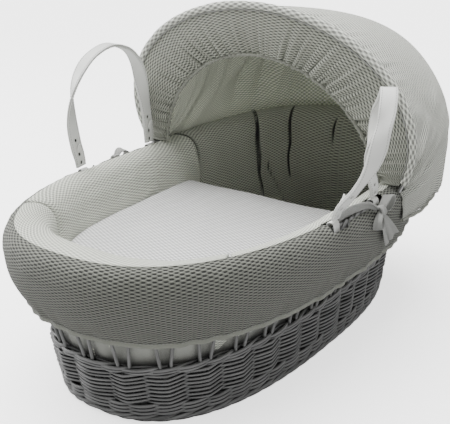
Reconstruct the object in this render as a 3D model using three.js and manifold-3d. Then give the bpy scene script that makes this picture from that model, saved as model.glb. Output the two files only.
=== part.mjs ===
// A willow moses basket for a baby: woven oval basket, fabric dressing, mattress, coverlet,
// folding hood and two leatherette carrying handles. Millimetres, +Z up.
// The origin is the middle of the underside of the base. The foot of the basket is at -Y,
// the head and its hood at +Y. "Left" is -X and "right" is +X.
import * as THREE from 'three';
import Module from 'manifold-3d';

const wasm = await Module();
wasm.setup();

// ---------------------------------------------------------------- driving dimensions
// Each oval is a superellipse: half length along Y, half width along X, exponent, middle in Y.
const WALL = [
  // height, half length, half width, exponent, middle in Y of the wicker wall's centre line
  [0, 348, 169, 2.6, 7],
  [93, 367, 176, 2.6, 7],
  [170, 384, 199, 2.55, 3],
  [222, 394, 220, 2.5, 0],
  [240, 398, 227, 2.5, 0],
];
const WELL = [
  // height, half length, half width, exponent, middle in Y of the space inside the bumper
  [10, 330, 152, 3.4, 20],
  [135, 330, 167, 3.4, 20],
  [182, 330, 180, 3.4, 18],
  [196, 332, 184, 3.3, 17],
  [221, 352, 196, 2.9, 10],
  [239, 372, 205, 2.7, 4],
  [251, 386, 212, 2.6, 1],
];
const RIM_HEIGHT = 259;
const RIM_RISE_AT_HEAD = 31;
const RIM_HALF_LENGTH = 415;
const WALL_THICKNESS = 10;
const STAKE_GROUPS = 32;

const BASE_THICKNESS = 10;
const FOOT_BORDER_HEIGHT = 16;
const LOWER_WEAVE_TOP = 93;
const UPPER_WEAVE_BOTTOM = 170;
const UPPER_WEAVE_DROP = 39;
const RIM_BORDER_DROP = 20;
const RIM_BORDER_RADIUS = 9.5;

const SKIRT_THICKNESS = 2.2;
const SKIRT_HEM_HEIGHT = 150;
const HEM_BAND_HEIGHT = 9;
const HEM_OVAL = [394, 223, 2.5, 5];

const MATTRESS_TOP = 62;
const COVERLET_TOP = 195;
const COVERLET_HEAD_EDGE_Y = 100;

const HINGE_HANDLE = { x: 232, z: 263 };
const HANDLE_WIDTH = 24;
const HANDLE_LAYER = 2.1;
const HANDLE_LAYER_GAP = 0.5;
// middle line of each handle, level by level: height above the hinge, then Y of the foot-side
// leg, Y of the head-side leg, and how far each of the two stands outward of the hinge
const LEFT_HANDLE_LINE = [
  [1.6, -116, 60, 0, 0],
  [16, -118, 60, 0.5, 0.4],
  [40, -124, 59, 1.4, 1.2],
  [80, -129, 54, 2.4, 2.2],
  [120, -124, 46, 3.2, 3],
  [150, -108, 36, 3.8, 3.6],
  [172, -84, 18, 4.2, 4.1],
  [184, -56, -8, 4.3, 4.3],
];
const LEFT_HANDLE_TOP = [-32, 188, 4.3];
const RIGHT_HANDLE_LINE = [
  [1.6, -98, 22, 0, 0],
  [16, -97, 20, 5, 1],
  [40, -88, 12, 21, -2],
  [75, -80, 3, 40, -4],
  [110, -76, -1, 50, 4],
  [148, -67, -10, 54, 20],
  [172, -52, -25, 49, 34],
];
const RIGHT_HANDLE_TOP = [-38, 181, 42];
const HANDLE_LEGS = {
  left: { foot: -116, head: 60 },
  right: { foot: -98, head: 22 },
};
const LEFT_SLIT = [-134, 78];
const RIGHT_SLIT = [-116, 46];

const HOOD = {
  lean: 9.5 * Math.PI / 180,
  planeY: 86,
  planeZ: 268,
  middleUp: 66,
  ridgeHalfWidth: 267,
  ridgeHalfHeight: 195,
};
const HOOD_HEM = { halfWidth: 253, backY: 470, frontY: 94, exponent: 2.7, sideZ: 211, backZ: 213 };
const HOOD_FALL_EXPONENT = 4.1;
const HOOD_DEPTH_EXPONENT = 1.76;
const PIPING_RADIUS = 6.5;
const BOW_RADIUS = 2.6;

// ---------------------------------------------------------------- colours
const WICKER = { color: 0x474a4a, roughness: 0.75 };
const WAFFLE = { color: 0xaaaca5, roughness: 0.95 };
const HOOD_FABRIC = { color: 0x8b8e84, roughness: 0.95 };
const LINING = { color: 0x9a9c94, roughness: 0.95 };
const COTTON = { color: 0xd8d9d6, roughness: 0.95 };
const COVER = { color: 0xc9cac8, roughness: 0.95 };
const LEATHERETTE = { color: 0xe6e5e1, roughness: 0.55 };
const ELASTIC = { color: 0x9c9e97, roughness: 0.9 };
const BOW_WIRE = { color: 0xb9bbbd, roughness: 0.35, metalness: 0.85 };

const group = new THREE.Group();
group.name = 'moses_basket';

// ---------------------------------------------------------------- shape helpers
const vec = (x, y, z) => new THREE.Vector3(x, y, z);
const mix = (a, b, k) => a + (b - a) * k;
const clamp01 = (k) => Math.min(1, Math.max(0, k));
const smooth = (k) => clamp01(k) ** 2 * (3 - 2 * clamp01(k));
const radians = (degrees) => degrees * Math.PI / 180;
const signedPower = (value, power) => Math.sign(value) * Math.abs(value) ** power;

// point on an oval, at an angle counted from the foot (-Y) towards +X
function ovalPoint(angle, halfLength, halfWidth, exponent, middleY, offset, z) {
  const power = 2 / exponent;
  const point = vec(
    halfWidth * signedPower(Math.sin(angle), power),
    -halfLength * signedPower(Math.cos(angle), power),
    z,
  );
  const outward = vec(
    signedPower(Math.sin(angle), 2 - power) / halfWidth,
    -signedPower(Math.cos(angle), 2 - power) / halfLength,
    0,
  ).normalize();
  point.addScaledVector(outward, offset);
  point.y += middleY;
  return point;
}

function tableAt(table, z) {
  let k = 1;
  while (k < table.length - 1 && z > table[k][0]) k += 1;
  const [low, high] = [table[k - 1], table[k]];
  const share = clamp01((z - low[0]) / (high[0] - low[0]));
  return low.map((value, column) => mix(value, high[column], share));
}

function tablePoint(table, angle, z, offset) {
  const [, halfLength, halfWidth, exponent, middleY] = tableAt(table, z);
  return ovalPoint(angle, halfLength, halfWidth, exponent, middleY, offset, z);
}

const wallPoint = (angle, z, offset) => tablePoint(WALL, angle, z, offset);
const crestAt = (y) => RIM_HEIGHT + RIM_RISE_AT_HEAD * clamp01(y / RIM_HALF_LENGTH) ** 2;

// height of the rim's crest above the floor at an angle round the basket
const crestAtAngle = (angle) => crestAt(wallPoint(angle, 240, 0).y);

// point near the rim: offset outward from the rim's centre line, drop below the crest
function rimPoint(angle, drop, offset) {
  const point = wallPoint(angle, 240, offset);
  point.z = crestAtAngle(angle) - drop;
  return point;
}

// the same, following the slope of the wall below the rim
function wallTopPoint(angle, drop, offset) {
  const z = crestAtAngle(angle) - drop;
  const point = wallPoint(angle, Math.min(z, 240), offset);
  point.z = z;
  return point;
}

function geometryFrom(points, triangles) {
  let volume = 0;
  for (const [a, b, c] of triangles) {
    volume += points[a].dot(points[b].clone().cross(points[c])) / 6;
  }
  const positions = points.flatMap((p) => [p.x, p.y, p.z]);
  const index = triangles.flatMap(([a, b, c]) => (volume > 0 ? [a, b, c] : [a, c, b]));
  const geometry = new THREE.BufferGeometry();
  geometry.setAttribute('position', new THREE.Float32BufferAttribute(positions, 3));
  geometry.setIndex(index);
  return geometry;
}

// solid swept through rings of equal length: a closed loop of rings, or capped at both ends
function sweptSolid(rings, closed) {
  const size = rings[0].length;
  const points = rings.flat();
  const triangles = [];
  const last = closed ? rings.length : rings.length - 1;
  for (let i = 0; i < last; i += 1) {
    const next = (i + 1) % rings.length;
    for (let j = 0; j < size; j += 1) {
      const k = (j + 1) % size;
      const [a, b, c, d] = [i * size + j, i * size + k, next * size + k, next * size + j];
      triangles.push([a, b, c], [a, c, d]);
    }
  }
  if (!closed) {
    for (const [ring, flip] of [[0, true], [rings.length - 1, false]]) {
      const middle = rings[ring].reduce((sum, p) => sum.add(p), vec(0, 0, 0));
      points.push(middle.divideScalar(size));
      const centre = points.length - 1;
      for (let j = 0; j < size; j += 1) {
        const [a, b] = [ring * size + j, ring * size + ((j + 1) % size)];
        triangles.push(flip ? [centre, b, a] : [centre, a, b]);
      }
    }
  }
  return geometryFrom(points, triangles);
}

// solid between two grids of points, closed along all four edges
function sheetSolid(outer, inner) {
  const rows = outer.length;
  const columns = outer[0].length;
  const points = [...outer.flat(), ...inner.flat()];
  const shift = rows * columns;
  const at = (i, j) => i * columns + j;
  const triangles = [];
  const quad = (a, b, c, d) => triangles.push([a, b, c], [a, c, d]);
  for (let i = 0; i < rows - 1; i += 1) {
    for (let j = 0; j < columns - 1; j += 1) {
      quad(at(i, j), at(i + 1, j), at(i + 1, j + 1), at(i, j + 1));
      quad(shift + at(i, j), shift + at(i, j + 1), shift + at(i + 1, j + 1), shift + at(i + 1, j));
    }
  }
  const border = [];
  for (let j = 0; j < columns - 1; j += 1) border.push(at(0, j));
  for (let i = 0; i < rows - 1; i += 1) border.push(at(i, columns - 1));
  for (let j = columns - 1; j > 0; j -= 1) border.push(at(rows - 1, j));
  for (let i = rows - 1; i > 0; i -= 1) border.push(at(i, 0));
  // the far edges split their quads the other way, so that two sheets can meet end to end
  const firstFar = rows + columns - 2;
  for (let k = 0; k < border.length; k += 1) {
    const [a, b] = [border[k], border[(k + 1) % border.length]];
    if (k < firstFar) quad(a, b, shift + b, shift + a);
    else triangles.push([a, b, shift + a], [b, shift + b, shift + a]);
  }
  return geometryFrom(points, triangles);
}

// round bar along a path; "across" is a direction that is never along the path
function barSolid(path, radius, sides, across, flatten = 1) {
  const rings = path.map((point, i) => {
    const ahead = path[Math.min(i + 1, path.length - 1)];
    const behind = path[Math.max(i - 1, 0)];
    const along = ahead.clone().sub(behind).normalize();
    const first = across.clone().addScaledVector(along, -across.dot(along)).normalize();
    const second = along.clone().cross(first);
    return Array.from({ length: sides }, (_, k) => {
      const turn = (k + 0.5) * 2 * Math.PI / sides;
      return point.clone()
        .addScaledVector(first, radius * flatten * Math.cos(turn))
        .addScaledVector(second, radius * Math.sin(turn));
    });
  });
  return sweptSolid(rings, false);
}

function toManifold(geometry) {
  const vertProperties = new Float32Array(geometry.getAttribute('position').array);
  const triVerts = new Uint32Array(geometry.getIndex().array);
  return new wasm.Manifold(new wasm.Mesh({ numProp: 3, vertProperties, triVerts }));
}

function fromManifold(manifold) {
  const mesh = manifold.getMesh();
  const geometry = new THREE.BufferGeometry();
  const positions = [];
  for (let i = 0; i < mesh.vertProperties.length; i += mesh.numProp) {
    positions.push(mesh.vertProperties[i], mesh.vertProperties[i + 1], mesh.vertProperties[i + 2]);
  }
  geometry.setAttribute('position', new THREE.Float32BufferAttribute(positions, 3));
  geometry.setIndex([...mesh.triVerts]);
  return geometry;
}

function unite(geometries) {
  let whole = toManifold(geometries[0]);
  for (const geometry of geometries.slice(1)) whole = whole.add(toManifold(geometry));
  return fromManifold(whole);
}

function subtract(geometry, cutters) {
  let whole = toManifold(geometry);
  for (const cutter of cutters) whole = whole.subtract(toManifold(cutter));
  return fromManifold(whole);
}

function boxSolid(low, high) {
  const corner = (x, y, z) => vec(x, y, z);
  const ring = (z) => [
    corner(low.x, low.y, z), corner(high.x, low.y, z), corner(high.x, high.y, z),
    corner(low.x, high.y, z),
  ];
  return sweptSolid([ring(low.z), ring(high.z)], false);
}

function mirrored(geometry) {
  const copy = geometry.clone();
  const position = copy.getAttribute('position');
  for (let i = 0; i < position.count; i += 1) position.setX(i, -position.getX(i));
  const index = [...copy.getIndex().array];
  for (let i = 0; i < index.length; i += 3) [index[i], index[i + 1]] = [index[i + 1], index[i]];
  copy.setIndex(index);
  return copy;
}

function add(name, geometry, look) {
  const material = new THREE.MeshStandardMaterial({ metalness: 0, ...look });
  const mesh = new THREE.Mesh(geometry, material);
  mesh.name = name;
  group.add(mesh);
}

const along = (count, make) => Array.from({ length: count }, (_, k) => make(k / (count - 1)));
const anglesRound = (count) => Array.from({ length: count }, (_, k) => k * 2 * Math.PI / count);

// ---------------------------------------------------------------- wicker basket
const baseOutline = (z, offset) => anglesRound(48).map((angle) => {
  const point = wallPoint(angle, 0, offset);
  point.z = z;
  return point;
});
add('base_weave', sweptSolid([
  baseOutline(0, -11), baseOutline(BASE_THICKNESS, -11),
], false), WICKER);

add('foot_border', sweptSolid(anglesRound(48).map((angle) => [
  [-7, 0], [4, 0], [8, 5], [8, 11], [4, FOOT_BORDER_HEIGHT], [-6, FOOT_BORDER_HEIGHT], [-10, 8],
].map(([offset, z]) => wallPoint(angle, z, offset))), true), WICKER);

// the woven band stands out at every pair of stakes and sinks between them
const stakeWave = (index) => (index % 2 ? -2.2 : 2.2);
add('lower_weave', sweptSolid(anglesRound(2 * STAKE_GROUPS).map((angle, index) => [
  [-6, 17], [4, 17], [6, 26], [5, 60], [6, LOWER_WEAVE_TOP - 6], [3, LOWER_WEAVE_TOP],
  [-6, LOWER_WEAVE_TOP],
].map(([offset, z]) => wallPoint(angle, z, offset + (offset > 0 ? stakeWave(index) : 0)))), true),
WICKER);

// stakes of the open band: each pair leaves the lower weave together and spreads in a V,
// so that neighbours meet under the upper weave
const STAKE_THICKNESS = 5.8;
const STAKE_MEETING = 22;
add('stake_lattice', sweptSolid(anglesRound(2 * STAKE_GROUPS).map((angle, index) => {
  const low = index % 2 ? UPPER_WEAVE_BOTTOM - 1 - STAKE_MEETING : LOWER_WEAVE_TOP + 1;
  const [inner, outer] = [-STAKE_THICKNESS / 2, STAKE_THICKNESS / 2];
  return [
    wallPoint(angle, low, inner), wallPoint(angle, low, outer),
    wallPoint(angle, low + STAKE_MEETING, outer), wallPoint(angle, low + STAKE_MEETING, inner),
  ];
}), true), WICKER);

add('upper_weave', sweptSolid(anglesRound(48).map((angle) => [
  wallPoint(angle, UPPER_WEAVE_BOTTOM, -WALL_THICKNESS / 2),
  wallPoint(angle, UPPER_WEAVE_BOTTOM, WALL_THICKNESS / 2),
  wallTopPoint(angle, UPPER_WEAVE_DROP, WALL_THICKNESS / 2),
  wallTopPoint(angle, UPPER_WEAVE_DROP, -WALL_THICKNESS / 2),
]), true), WICKER);

add('rim_border', sweptSolid(anglesRound(48).map((angle) => (
  anglesRound(8).map((turn) => rimPoint(
    angle,
    RIM_BORDER_DROP - RIM_BORDER_RADIUS * Math.sin(turn),
    RIM_BORDER_RADIUS * Math.cos(turn),
  )))), true), WICKER);

// ---------------------------------------------------------------- fabric dressing
add('inner_lining', sweptSolid(anglesRound(48).map((angle) => [
  wallPoint(angle, 19, -8.6),
  wallPoint(angle, 19, -6.8),
  wallPoint(angle, 93, -6.8),
  wallPoint(angle, 170, -6.4),
  wallTopPoint(angle, UPPER_WEAVE_DROP + 1, -6.4),
  wallTopPoint(angle, UPPER_WEAVE_DROP + 1, -8.2),
  wallPoint(angle, 170, -8.2),
  wallPoint(angle, 93, -8.6),
]), true), COTTON);

const hemPoint = (angle, z, offset) => {
  const [halfLength, halfWidth, exponent, middleY] = HEM_OVAL;
  return ovalPoint(angle, halfLength, halfWidth, exponent, middleY, offset, z);
};

// one profile of the skirt: over the rim's crest, then hanging down to the hem
function skirtProfile(angle, inset) {
  const over = [[-11.5, 7], [-4, 1], [4, 0], [12, 5], [18, 16], [20, 32]];
  const middle = [0, RIM_BORDER_DROP];
  const points = over.map(([offset, drop]) => {
    const away = Math.hypot(offset - middle[0], drop - middle[1]);
    const scale = (away - inset) / away;
    return rimPoint(
      angle,
      middle[1] + (drop - middle[1]) * scale,
      middle[0] + (offset - middle[0]) * scale,
    );
  });
  const shoulder = points[points.length - 1];
  for (const share of [0.35, 0.7, 1]) {
    const hem = hemPoint(angle, SKIRT_HEM_HEIGHT, -inset);
    const bulge = 5 * Math.sin(share * Math.PI);
    const point = shoulder.clone().lerp(hem, share);
    point.addScaledVector(vec(point.x, point.y, 0).normalize(), bulge);
    points.push(point);
  }
  return points;
}
const slitCutter = (side, [fromY, toY]) => boxSolid(
  vec(side > 0 ? 219.5 : -240.5, fromY, 246),
  vec(side > 0 ? 240.5 : -219.5, toY, 275),
);
const skirt = sweptSolid(anglesRound(52).map((angle) => [
  ...skirtProfile(angle, 0),
  ...skirtProfile(angle, SKIRT_THICKNESS).reverse(),
]), true);
add('liner_skirt', subtract(skirt, [slitCutter(-1, LEFT_SLIT), slitCutter(1, RIGHT_SLIT)]), WAFFLE);

add('skirt_hem', sweptSolid(anglesRound(52).map((angle) => [
  [0.6, SKIRT_HEM_HEIGHT - 0.6], [0.6, SKIRT_HEM_HEIGHT - HEM_BAND_HEIGHT],
  [-3, SKIRT_HEM_HEIGHT - HEM_BAND_HEIGHT], [-3, SKIRT_HEM_HEIGHT - 0.6],
].map(([offset, z]) => hemPoint(angle, z, offset))), true), WAFFLE);

// one section of the padded bumper between the wicker wall and the sleeping space
function bumperSection(from, to, bottom, count) {
  const low = [bottom, 93, 135].filter((z) => z >= bottom);
  const outer = (angle) => [
    ...low.map((z) => wallPoint(angle, z, -12.5)),
    wallPoint(angle, 170, -10),
    wallPoint(angle, 196, -10.5),
    wallTopPoint(angle, 42, -13),
    wallTopPoint(angle, 18, -14),
    rimPoint(angle, 9, -16),
  ];
  const inner = (angle, rise) => [
    ...low.map((z) => tablePoint(WELL, angle, z, 0)),
    ...[170, 196, 221, 239, 251].map((z) => {
      const point = tablePoint(WELL, angle, z, 0);
      point.z += rise * Math.max(0, (z - 170) / 81);
      return point;
    }),
  ];
  const outerGrid = along(count, (share) => outer(mix(from[0], to[0], share)));
  const innerGrid = along(count, (share) => (
    inner(mix(from[1], to[1], share), crestAtAngle(mix(from[0], to[0], share)) - RIM_HEIGHT)));
  return sheetSolid(outerGrid, innerGrid);
}
const degreePair = (outer, inner) => [radians(outer), radians(inner)];
const footBumper = bumperSection(degreePair(-48.4, -33.7), degreePair(48.4, 33.7), 21, 13);
add('bumper_foot', footBumper, WAFFLE);
const sideBumper = bumperSection(degreePair(48.8, 34.1), degreePair(104, 99), 66, 11);
add('bumper_right', sideBumper, WAFFLE);
add('bumper_left', mirrored(sideBumper), WAFFLE);
const headBumper = bumperSection(degreePair(104.4, 99.4), degreePair(255.6, 260.6), 66, 17);
add('bumper_head', headBumper, WAFFLE);

// ---------------------------------------------------------------- mattress and coverlet
const mattressOutline = (z, inset) => anglesRound(44).map((angle) => (
  ovalPoint(angle, 320, 147, 2.6, 17, -inset, z)));
add('mattress', sweptSolid([
  mattressOutline(11, 6), mattressOutline(20, 0), mattressOutline(MATTRESS_TOP - 9, 0),
  mattressOutline(MATTRESS_TOP, 7),
], false), COTTON);

// the coverlet fills the sleeping space from the foot to a straight edge near the hood
const coverletOutline = (z, inset) => anglesRound(56).map((angle) => {
  const point = tablePoint(WELL, angle, Math.min(z, 182), -2.5 - inset);
  point.y = Math.min(point.y, COVERLET_HEAD_EDGE_Y - inset);
  point.z = z;
  return point;
});
add('coverlet', sweptSolid([
  coverletOutline(MATTRESS_TOP + 1, 5), coverletOutline(MATTRESS_TOP + 6, 0),
  coverletOutline(135, 0), coverletOutline(182, 0),
  coverletOutline(COVERLET_TOP - 5, 0), coverletOutline(COVERLET_TOP - 1, 4),
  coverletOutline(COVERLET_TOP, 16),
], false), COVER);

// ---------------------------------------------------------------- hood
// point on an arch in the hood's front plane; turn 0 and 1 are the ends by the pivots
function archPoint(turn, halfWidth, halfHeight, startDegrees, forward, middleUp = HOOD.middleUp) {
  const angle = radians(mix(-startDegrees, 180 + startDegrees, turn));
  const up = middleUp + halfHeight * Math.sin(angle);
  return vec(
    -halfWidth * Math.cos(angle),
    HOOD.planeY - up * Math.sin(HOOD.lean) - forward * Math.cos(HOOD.lean),
    HOOD.planeZ + up * Math.cos(HOOD.lean) - forward * Math.sin(HOOD.lean),
  );
}
const planeNormal = vec(0, Math.cos(HOOD.lean), Math.sin(HOOD.lean));

const ridgePath = (startDegrees, count) => along(count, (turn) => (
  archPoint(turn, HOOD.ridgeHalfWidth, HOOD.ridgeHalfHeight, startDegrees, 0)));
add('hood_bow', barSolid(ridgePath(24, 33), BOW_RADIUS, 6, planeNormal), BOW_WIRE);
add('hood_piping', subtract(
  barSolid(ridgePath(18, 29), PIPING_RADIUS, 8, planeNormal),
  [barSolid(ridgePath(21, 31), BOW_RADIUS + 1, 6, planeNormal)],
), HOOD_FABRIC);

// the opening edge inside the front band is a taller arch with its middle below the rim
const OPENING = { halfWidth: 215, halfHeight: 223, middleUp: -39, startDegrees: -16 };
const openingPoint = (turn, inset, forward) => archPoint(
  turn, OPENING.halfWidth - inset, OPENING.halfHeight - inset, OPENING.startDegrees, forward,
  OPENING.middleUp,
);
const bandPoint = (turn, share, forward) => archPoint(
  turn, HOOD.ridgeHalfWidth - 8.5, HOOD.ridgeHalfHeight - 8.5, 14, forward,
).lerp(openingPoint(turn, 0, forward), share);
const bandGrid = (depth) => along(29, (turn) => along(5, (share) => (
  bandPoint(turn, share, 1 + depth + 2 * Math.sin(share * Math.PI)))));
add('hood_front_band', sheetSolid(bandGrid(2.6), bandGrid(0)), WAFFLE);
add('hood_edge_elastic', barSolid(
  along(29, (turn) => openingPoint(turn, 4, 2.3)), 3, 6, planeNormal,
), ELASTIC);

// the fabric shell runs from the front arch back to a hem that wraps the head of the basket
function hemLine(turn, grow) {
  const angle = Math.PI * turn;
  const power = 2 / HOOD_HEM.exponent;
  const back = Math.sin(angle);
  return vec(
    -(HOOD_HEM.halfWidth + grow) * signedPower(Math.cos(angle), power),
    HOOD_HEM.frontY + (HOOD_HEM.backY + grow - HOOD_HEM.frontY) * signedPower(back, power),
    mix(HOOD_HEM.sideZ, HOOD_HEM.backZ, back),
  );
}
function shellPoint(turn, share, inset) {
  const front = archPoint(
    turn, HOOD.ridgeHalfWidth - 8.5 - inset, HOOD.ridgeHalfHeight - 8.5 - inset, 15, -4,
  );
  const hem = hemLine(turn, -inset);
  const quarter = share * Math.PI / 2;
  return vec(
    mix(front.x, hem.x, share),
    mix(front.y, hem.y, Math.sin(quarter) ** (2 / HOOD_DEPTH_EXPONENT)),
    mix(hem.z, front.z, Math.cos(quarter) ** (2 / HOOD_FALL_EXPONENT)),
  );
}
const shellGrid = (inset) => along(27, (turn) => along(11, (share) => (
  shellPoint(turn, share, inset))));
add('hood_shell', sheetSolid(shellGrid(0), shellGrid(2.4)), HOOD_FABRIC);
const liningGrid = (inset) => along(25, (turn) => along(9, (share) => (
  shellPoint(turn, 0.02 + share * 0.93, inset))));
add('hood_lining', sheetSolid(liningGrid(5.5), liningGrid(7)), LINING);
add('hood_hem_elastic', barSolid(along(27, (turn) => {
  const point = hemLine(turn, -1.2);
  point.z -= 4;
  return point;
}), 3, 6, vec(0, 0, 1)), ELASTIC);

// ---------------------------------------------------------------- handles
function handleCurve(levels, top) {
  const at = (y, height, out) => vec(HINGE_HANDLE.x + out, y, HINGE_HANDLE.z + height);
  const footSide = levels.map(([height, footY, , footOut]) => at(footY, height, footOut));
  const headSide = levels.map(([height, , headY, , headOut]) => at(headY, height, headOut));
  const points = [...footSide, at(...top), ...headSide.reverse()];
  return new THREE.CatmullRomCurve3(points, false, 'centripetal');
}

// the strap is flat against the rim at both ends and turns to lie flat over the top
function strapRing(curve, share, near, far, width) {
  const point = curve.getPointAt(share);
  const tangent = curve.getTangentAt(share);
  if (share === 0) tangent.set(0, 0, 1);
  if (share === 1) tangent.set(0, 0, -1);
  const square = (direction) => direction.addScaledVector(tangent, -direction.dot(tangent)).normalize();
  const fromEnd = Math.min(share, 1 - share);
  const twist = radians(90) * smooth((fromEnd - 0.12) / 0.26);
  const outward = square(vec(1, 0, 0));
  const away = square(vec(0, share < 0.5 ? -1 : 1, 0));
  const top = square(vec(0, 0, 1));
  const overTop = smooth((0.2 - Math.abs(share - 0.5)) / 0.12);
  const rise = away.lerp(top, overTop).normalize();
  const face = square(outward.multiplyScalar(Math.cos(twist)).addScaledVector(rise, Math.sin(twist)));
  const side = tangent.clone().cross(face).normalize();
  return [[-1, near], [1, near], [1, far], [-1, far]].map(([edge, depth]) => (
    point.clone().addScaledVector(side, edge * width / 2).addScaledVector(face, depth)));
}
function strapLayer(curve, near, far, width) {
  return sweptSolid(along(41, (share) => strapRing(curve, share, near, far, width)), false);
}
const halfGap = HANDLE_LAYER_GAP / 2;

// the narrow end of the strap, threaded back up through its slots on the inner side
function tongue(curve, share) {
  const stations = [0.015, 0.04, 0.066, 0.085].map((step) => Math.abs(share - step));
  const standOff = [2.9, 3, 3.4, 7];
  const path = stations.map((station, k) => {
    const [nearSide, farSide, innerSide] = strapRing(curve, station, 0, -1, 1);
    const inward = innerSide.sub(farSide).normalize();
    const middle = nearSide.lerp(farSide, 0.5);
    return middle.addScaledVector(inward, halfGap + HANDLE_LAYER + standOff[k]);
  });
  return barSolid(path, 5.5, 6, vec(1, 0, 0), 0.36);
}

// leather loop round the rim border, with an ear that rises through the slit in the skirt
// and carries the strap: [offset from the border's middle, height above it] of the inner face
const LOOP_LINE = [
  [11.6, 0], [10.6, 6], [9.4, 13], [8.2, 19], [4.5, 20.6], [0.5, 19], [-1.5, 14.5], [-4.5, 10.9],
  [-8.4, 8], [-10.9, 4], [-11.6, 0], [-9.4, -6.8], [-4, -11], [4, -11], [9.4, -6.8],
];
const LOOP_THICKNESS = 1.8;
function rimLoop(y) {
  const middle = wallPoint(Math.acos(-signedPower(y / 398, 1.25)), 240, 0).x;
  const centreZ = crestAt(y) - RIM_BORDER_DROP;
  return sweptSolid(LOOP_LINE.map(([offset, height], k) => {
    const ahead = LOOP_LINE[(k + 1) % LOOP_LINE.length];
    const behind = LOOP_LINE[(k + LOOP_LINE.length - 1) % LOOP_LINE.length];
    const outward = vec(ahead[1] - behind[1], 0, behind[0] - ahead[0]).normalize();
    return [[-8, 0], [8, 0], [8, 1], [-8, 1]].map(([half, layer]) => (
      vec(middle + offset, y + half, centreZ + height)
        .addScaledVector(outward, layer * LOOP_THICKNESS)));
  }), true);
}

const sides = {
  left: { curve: handleCurve(LEFT_HANDLE_LINE, LEFT_HANDLE_TOP), flip: mirrored },
  right: { curve: handleCurve(RIGHT_HANDLE_LINE, RIGHT_HANDLE_TOP), flip: (piece) => piece },
};
for (const [side, { curve, flip }] of Object.entries(sides)) {
  const outer = strapLayer(curve, halfGap, halfGap + HANDLE_LAYER, HANDLE_WIDTH);
  const inner = strapLayer(curve, -halfGap, -halfGap - HANDLE_LAYER, HANDLE_WIDTH - 1);
  add(`handle_${side}_strap`, flip(outer), LEATHERETTE);
  add(`handle_${side}_backing`, flip(inner), LEATHERETTE);
  add(`handle_${side}_tongue_foot`, flip(tongue(curve, 0)), LEATHERETTE);
  add(`handle_${side}_tongue_head`, flip(tongue(curve, 1)), LEATHERETTE);
  add(`rim_loop_${side}_foot`, flip(rimLoop(HANDLE_LEGS[side].foot)), LEATHERETTE);
  add(`rim_loop_${side}_head`, flip(rimLoop(HANDLE_LEGS[side].head)), LEATHERETTE);
}

// ---------------------------------------------------------------- ties
// a bow of dressing fabric on each side: knot, two loops, two hanging tails
function tieBow(knotY, tailDrift) {
  const knot = vec(258, knotY, 240);
  const place = ([y, x, z]) => knot.clone().add(vec(x, y, z));
  const pieces = [
    barSolid([[-8, 0, 0], [-4, 0, 0], [4, 0, 0], [8, 0, 0]].map(place), 8, 8, vec(0, 0, 1)),
  ];
  for (const side of [-1, 1]) {
    const loop = [[0, 0, 0], [11, 1, 4], [20, 2, 6], [26, 2, 2], [27, 1, -3]];
    const tail = [[0, 0, 0], [6, 1, -18], [10, -2, -40], [12, -6, -64]];
    const drift = (z) => tailDrift * -z / 64;
    pieces.push(barSolid(
      loop.map(([y, x, z]) => place([side * y, x, z])), 6.5, 6, vec(1, 0, 0), 0.5,
    ));
    pieces.push(barSolid(
      tail.map(([y, x, z]) => place([side * y + drift(z), x, z])), 6.5, 6, vec(1, 0, 0), 0.3,
    ));
  }
  return unite(pieces);
}
add('tie_right', tieBow(38, 12), WAFFLE);
add('tie_left', mirrored(tieBow(-4, 0)), WAFFLE);

export default group;
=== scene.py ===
"""Looks of a willow moses basket: woven rods, waffle-cloth dressing, hood and leatherette handles.

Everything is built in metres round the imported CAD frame. +Z is up, the foot of the basket is at
-Y, the head and its hood at +Y.
"""
import math
from contextlib import contextmanager

import bmesh
import bpy
import numpy as np
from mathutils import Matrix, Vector


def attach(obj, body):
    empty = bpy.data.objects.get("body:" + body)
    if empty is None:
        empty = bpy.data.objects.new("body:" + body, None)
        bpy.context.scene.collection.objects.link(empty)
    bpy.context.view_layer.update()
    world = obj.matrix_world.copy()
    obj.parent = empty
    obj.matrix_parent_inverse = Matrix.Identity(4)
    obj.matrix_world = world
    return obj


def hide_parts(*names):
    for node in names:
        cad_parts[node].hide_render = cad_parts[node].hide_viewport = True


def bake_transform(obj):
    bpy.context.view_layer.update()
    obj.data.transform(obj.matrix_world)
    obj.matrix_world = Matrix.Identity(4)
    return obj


MM = 0.001
rng = np.random.default_rng(7)

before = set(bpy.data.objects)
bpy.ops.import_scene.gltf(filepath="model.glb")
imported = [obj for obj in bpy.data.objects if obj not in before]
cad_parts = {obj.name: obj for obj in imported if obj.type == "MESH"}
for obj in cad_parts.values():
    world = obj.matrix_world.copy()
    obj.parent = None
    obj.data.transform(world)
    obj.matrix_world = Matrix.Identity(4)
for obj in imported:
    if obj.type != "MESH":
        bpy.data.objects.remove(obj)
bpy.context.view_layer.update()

# ------------------------------------------------------------------ driving dimensions
# Ovals are superellipses. Columns: height, half length, half width, exponent, middle in Y (mm).
WALL = np.array([
    [0, 348, 169, 2.6, 7],
    [93, 367, 176, 2.6, 7],
    [170, 384, 199, 2.55, 3],
    [222, 394, 220, 2.5, 0],
    [240, 398, 227, 2.5, 0],
], float)
WELL = np.array([
    [10, 330, 152, 3.4, 20],
    [135, 330, 167, 3.4, 20],
    [182, 330, 180, 3.4, 18],
    [196, 332, 184, 3.3, 17],
    [221, 352, 196, 2.9, 10],
    [239, 372, 205, 2.7, 4],
    [251, 386, 212, 2.6, 1],
], float)
HEM_OVAL = (394, 223, 2.5, 5)
RIM_HEIGHT, RIM_RISE, RIM_HALF_LENGTH = 259, 31, 415
STAKE_GROUPS = 32

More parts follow.
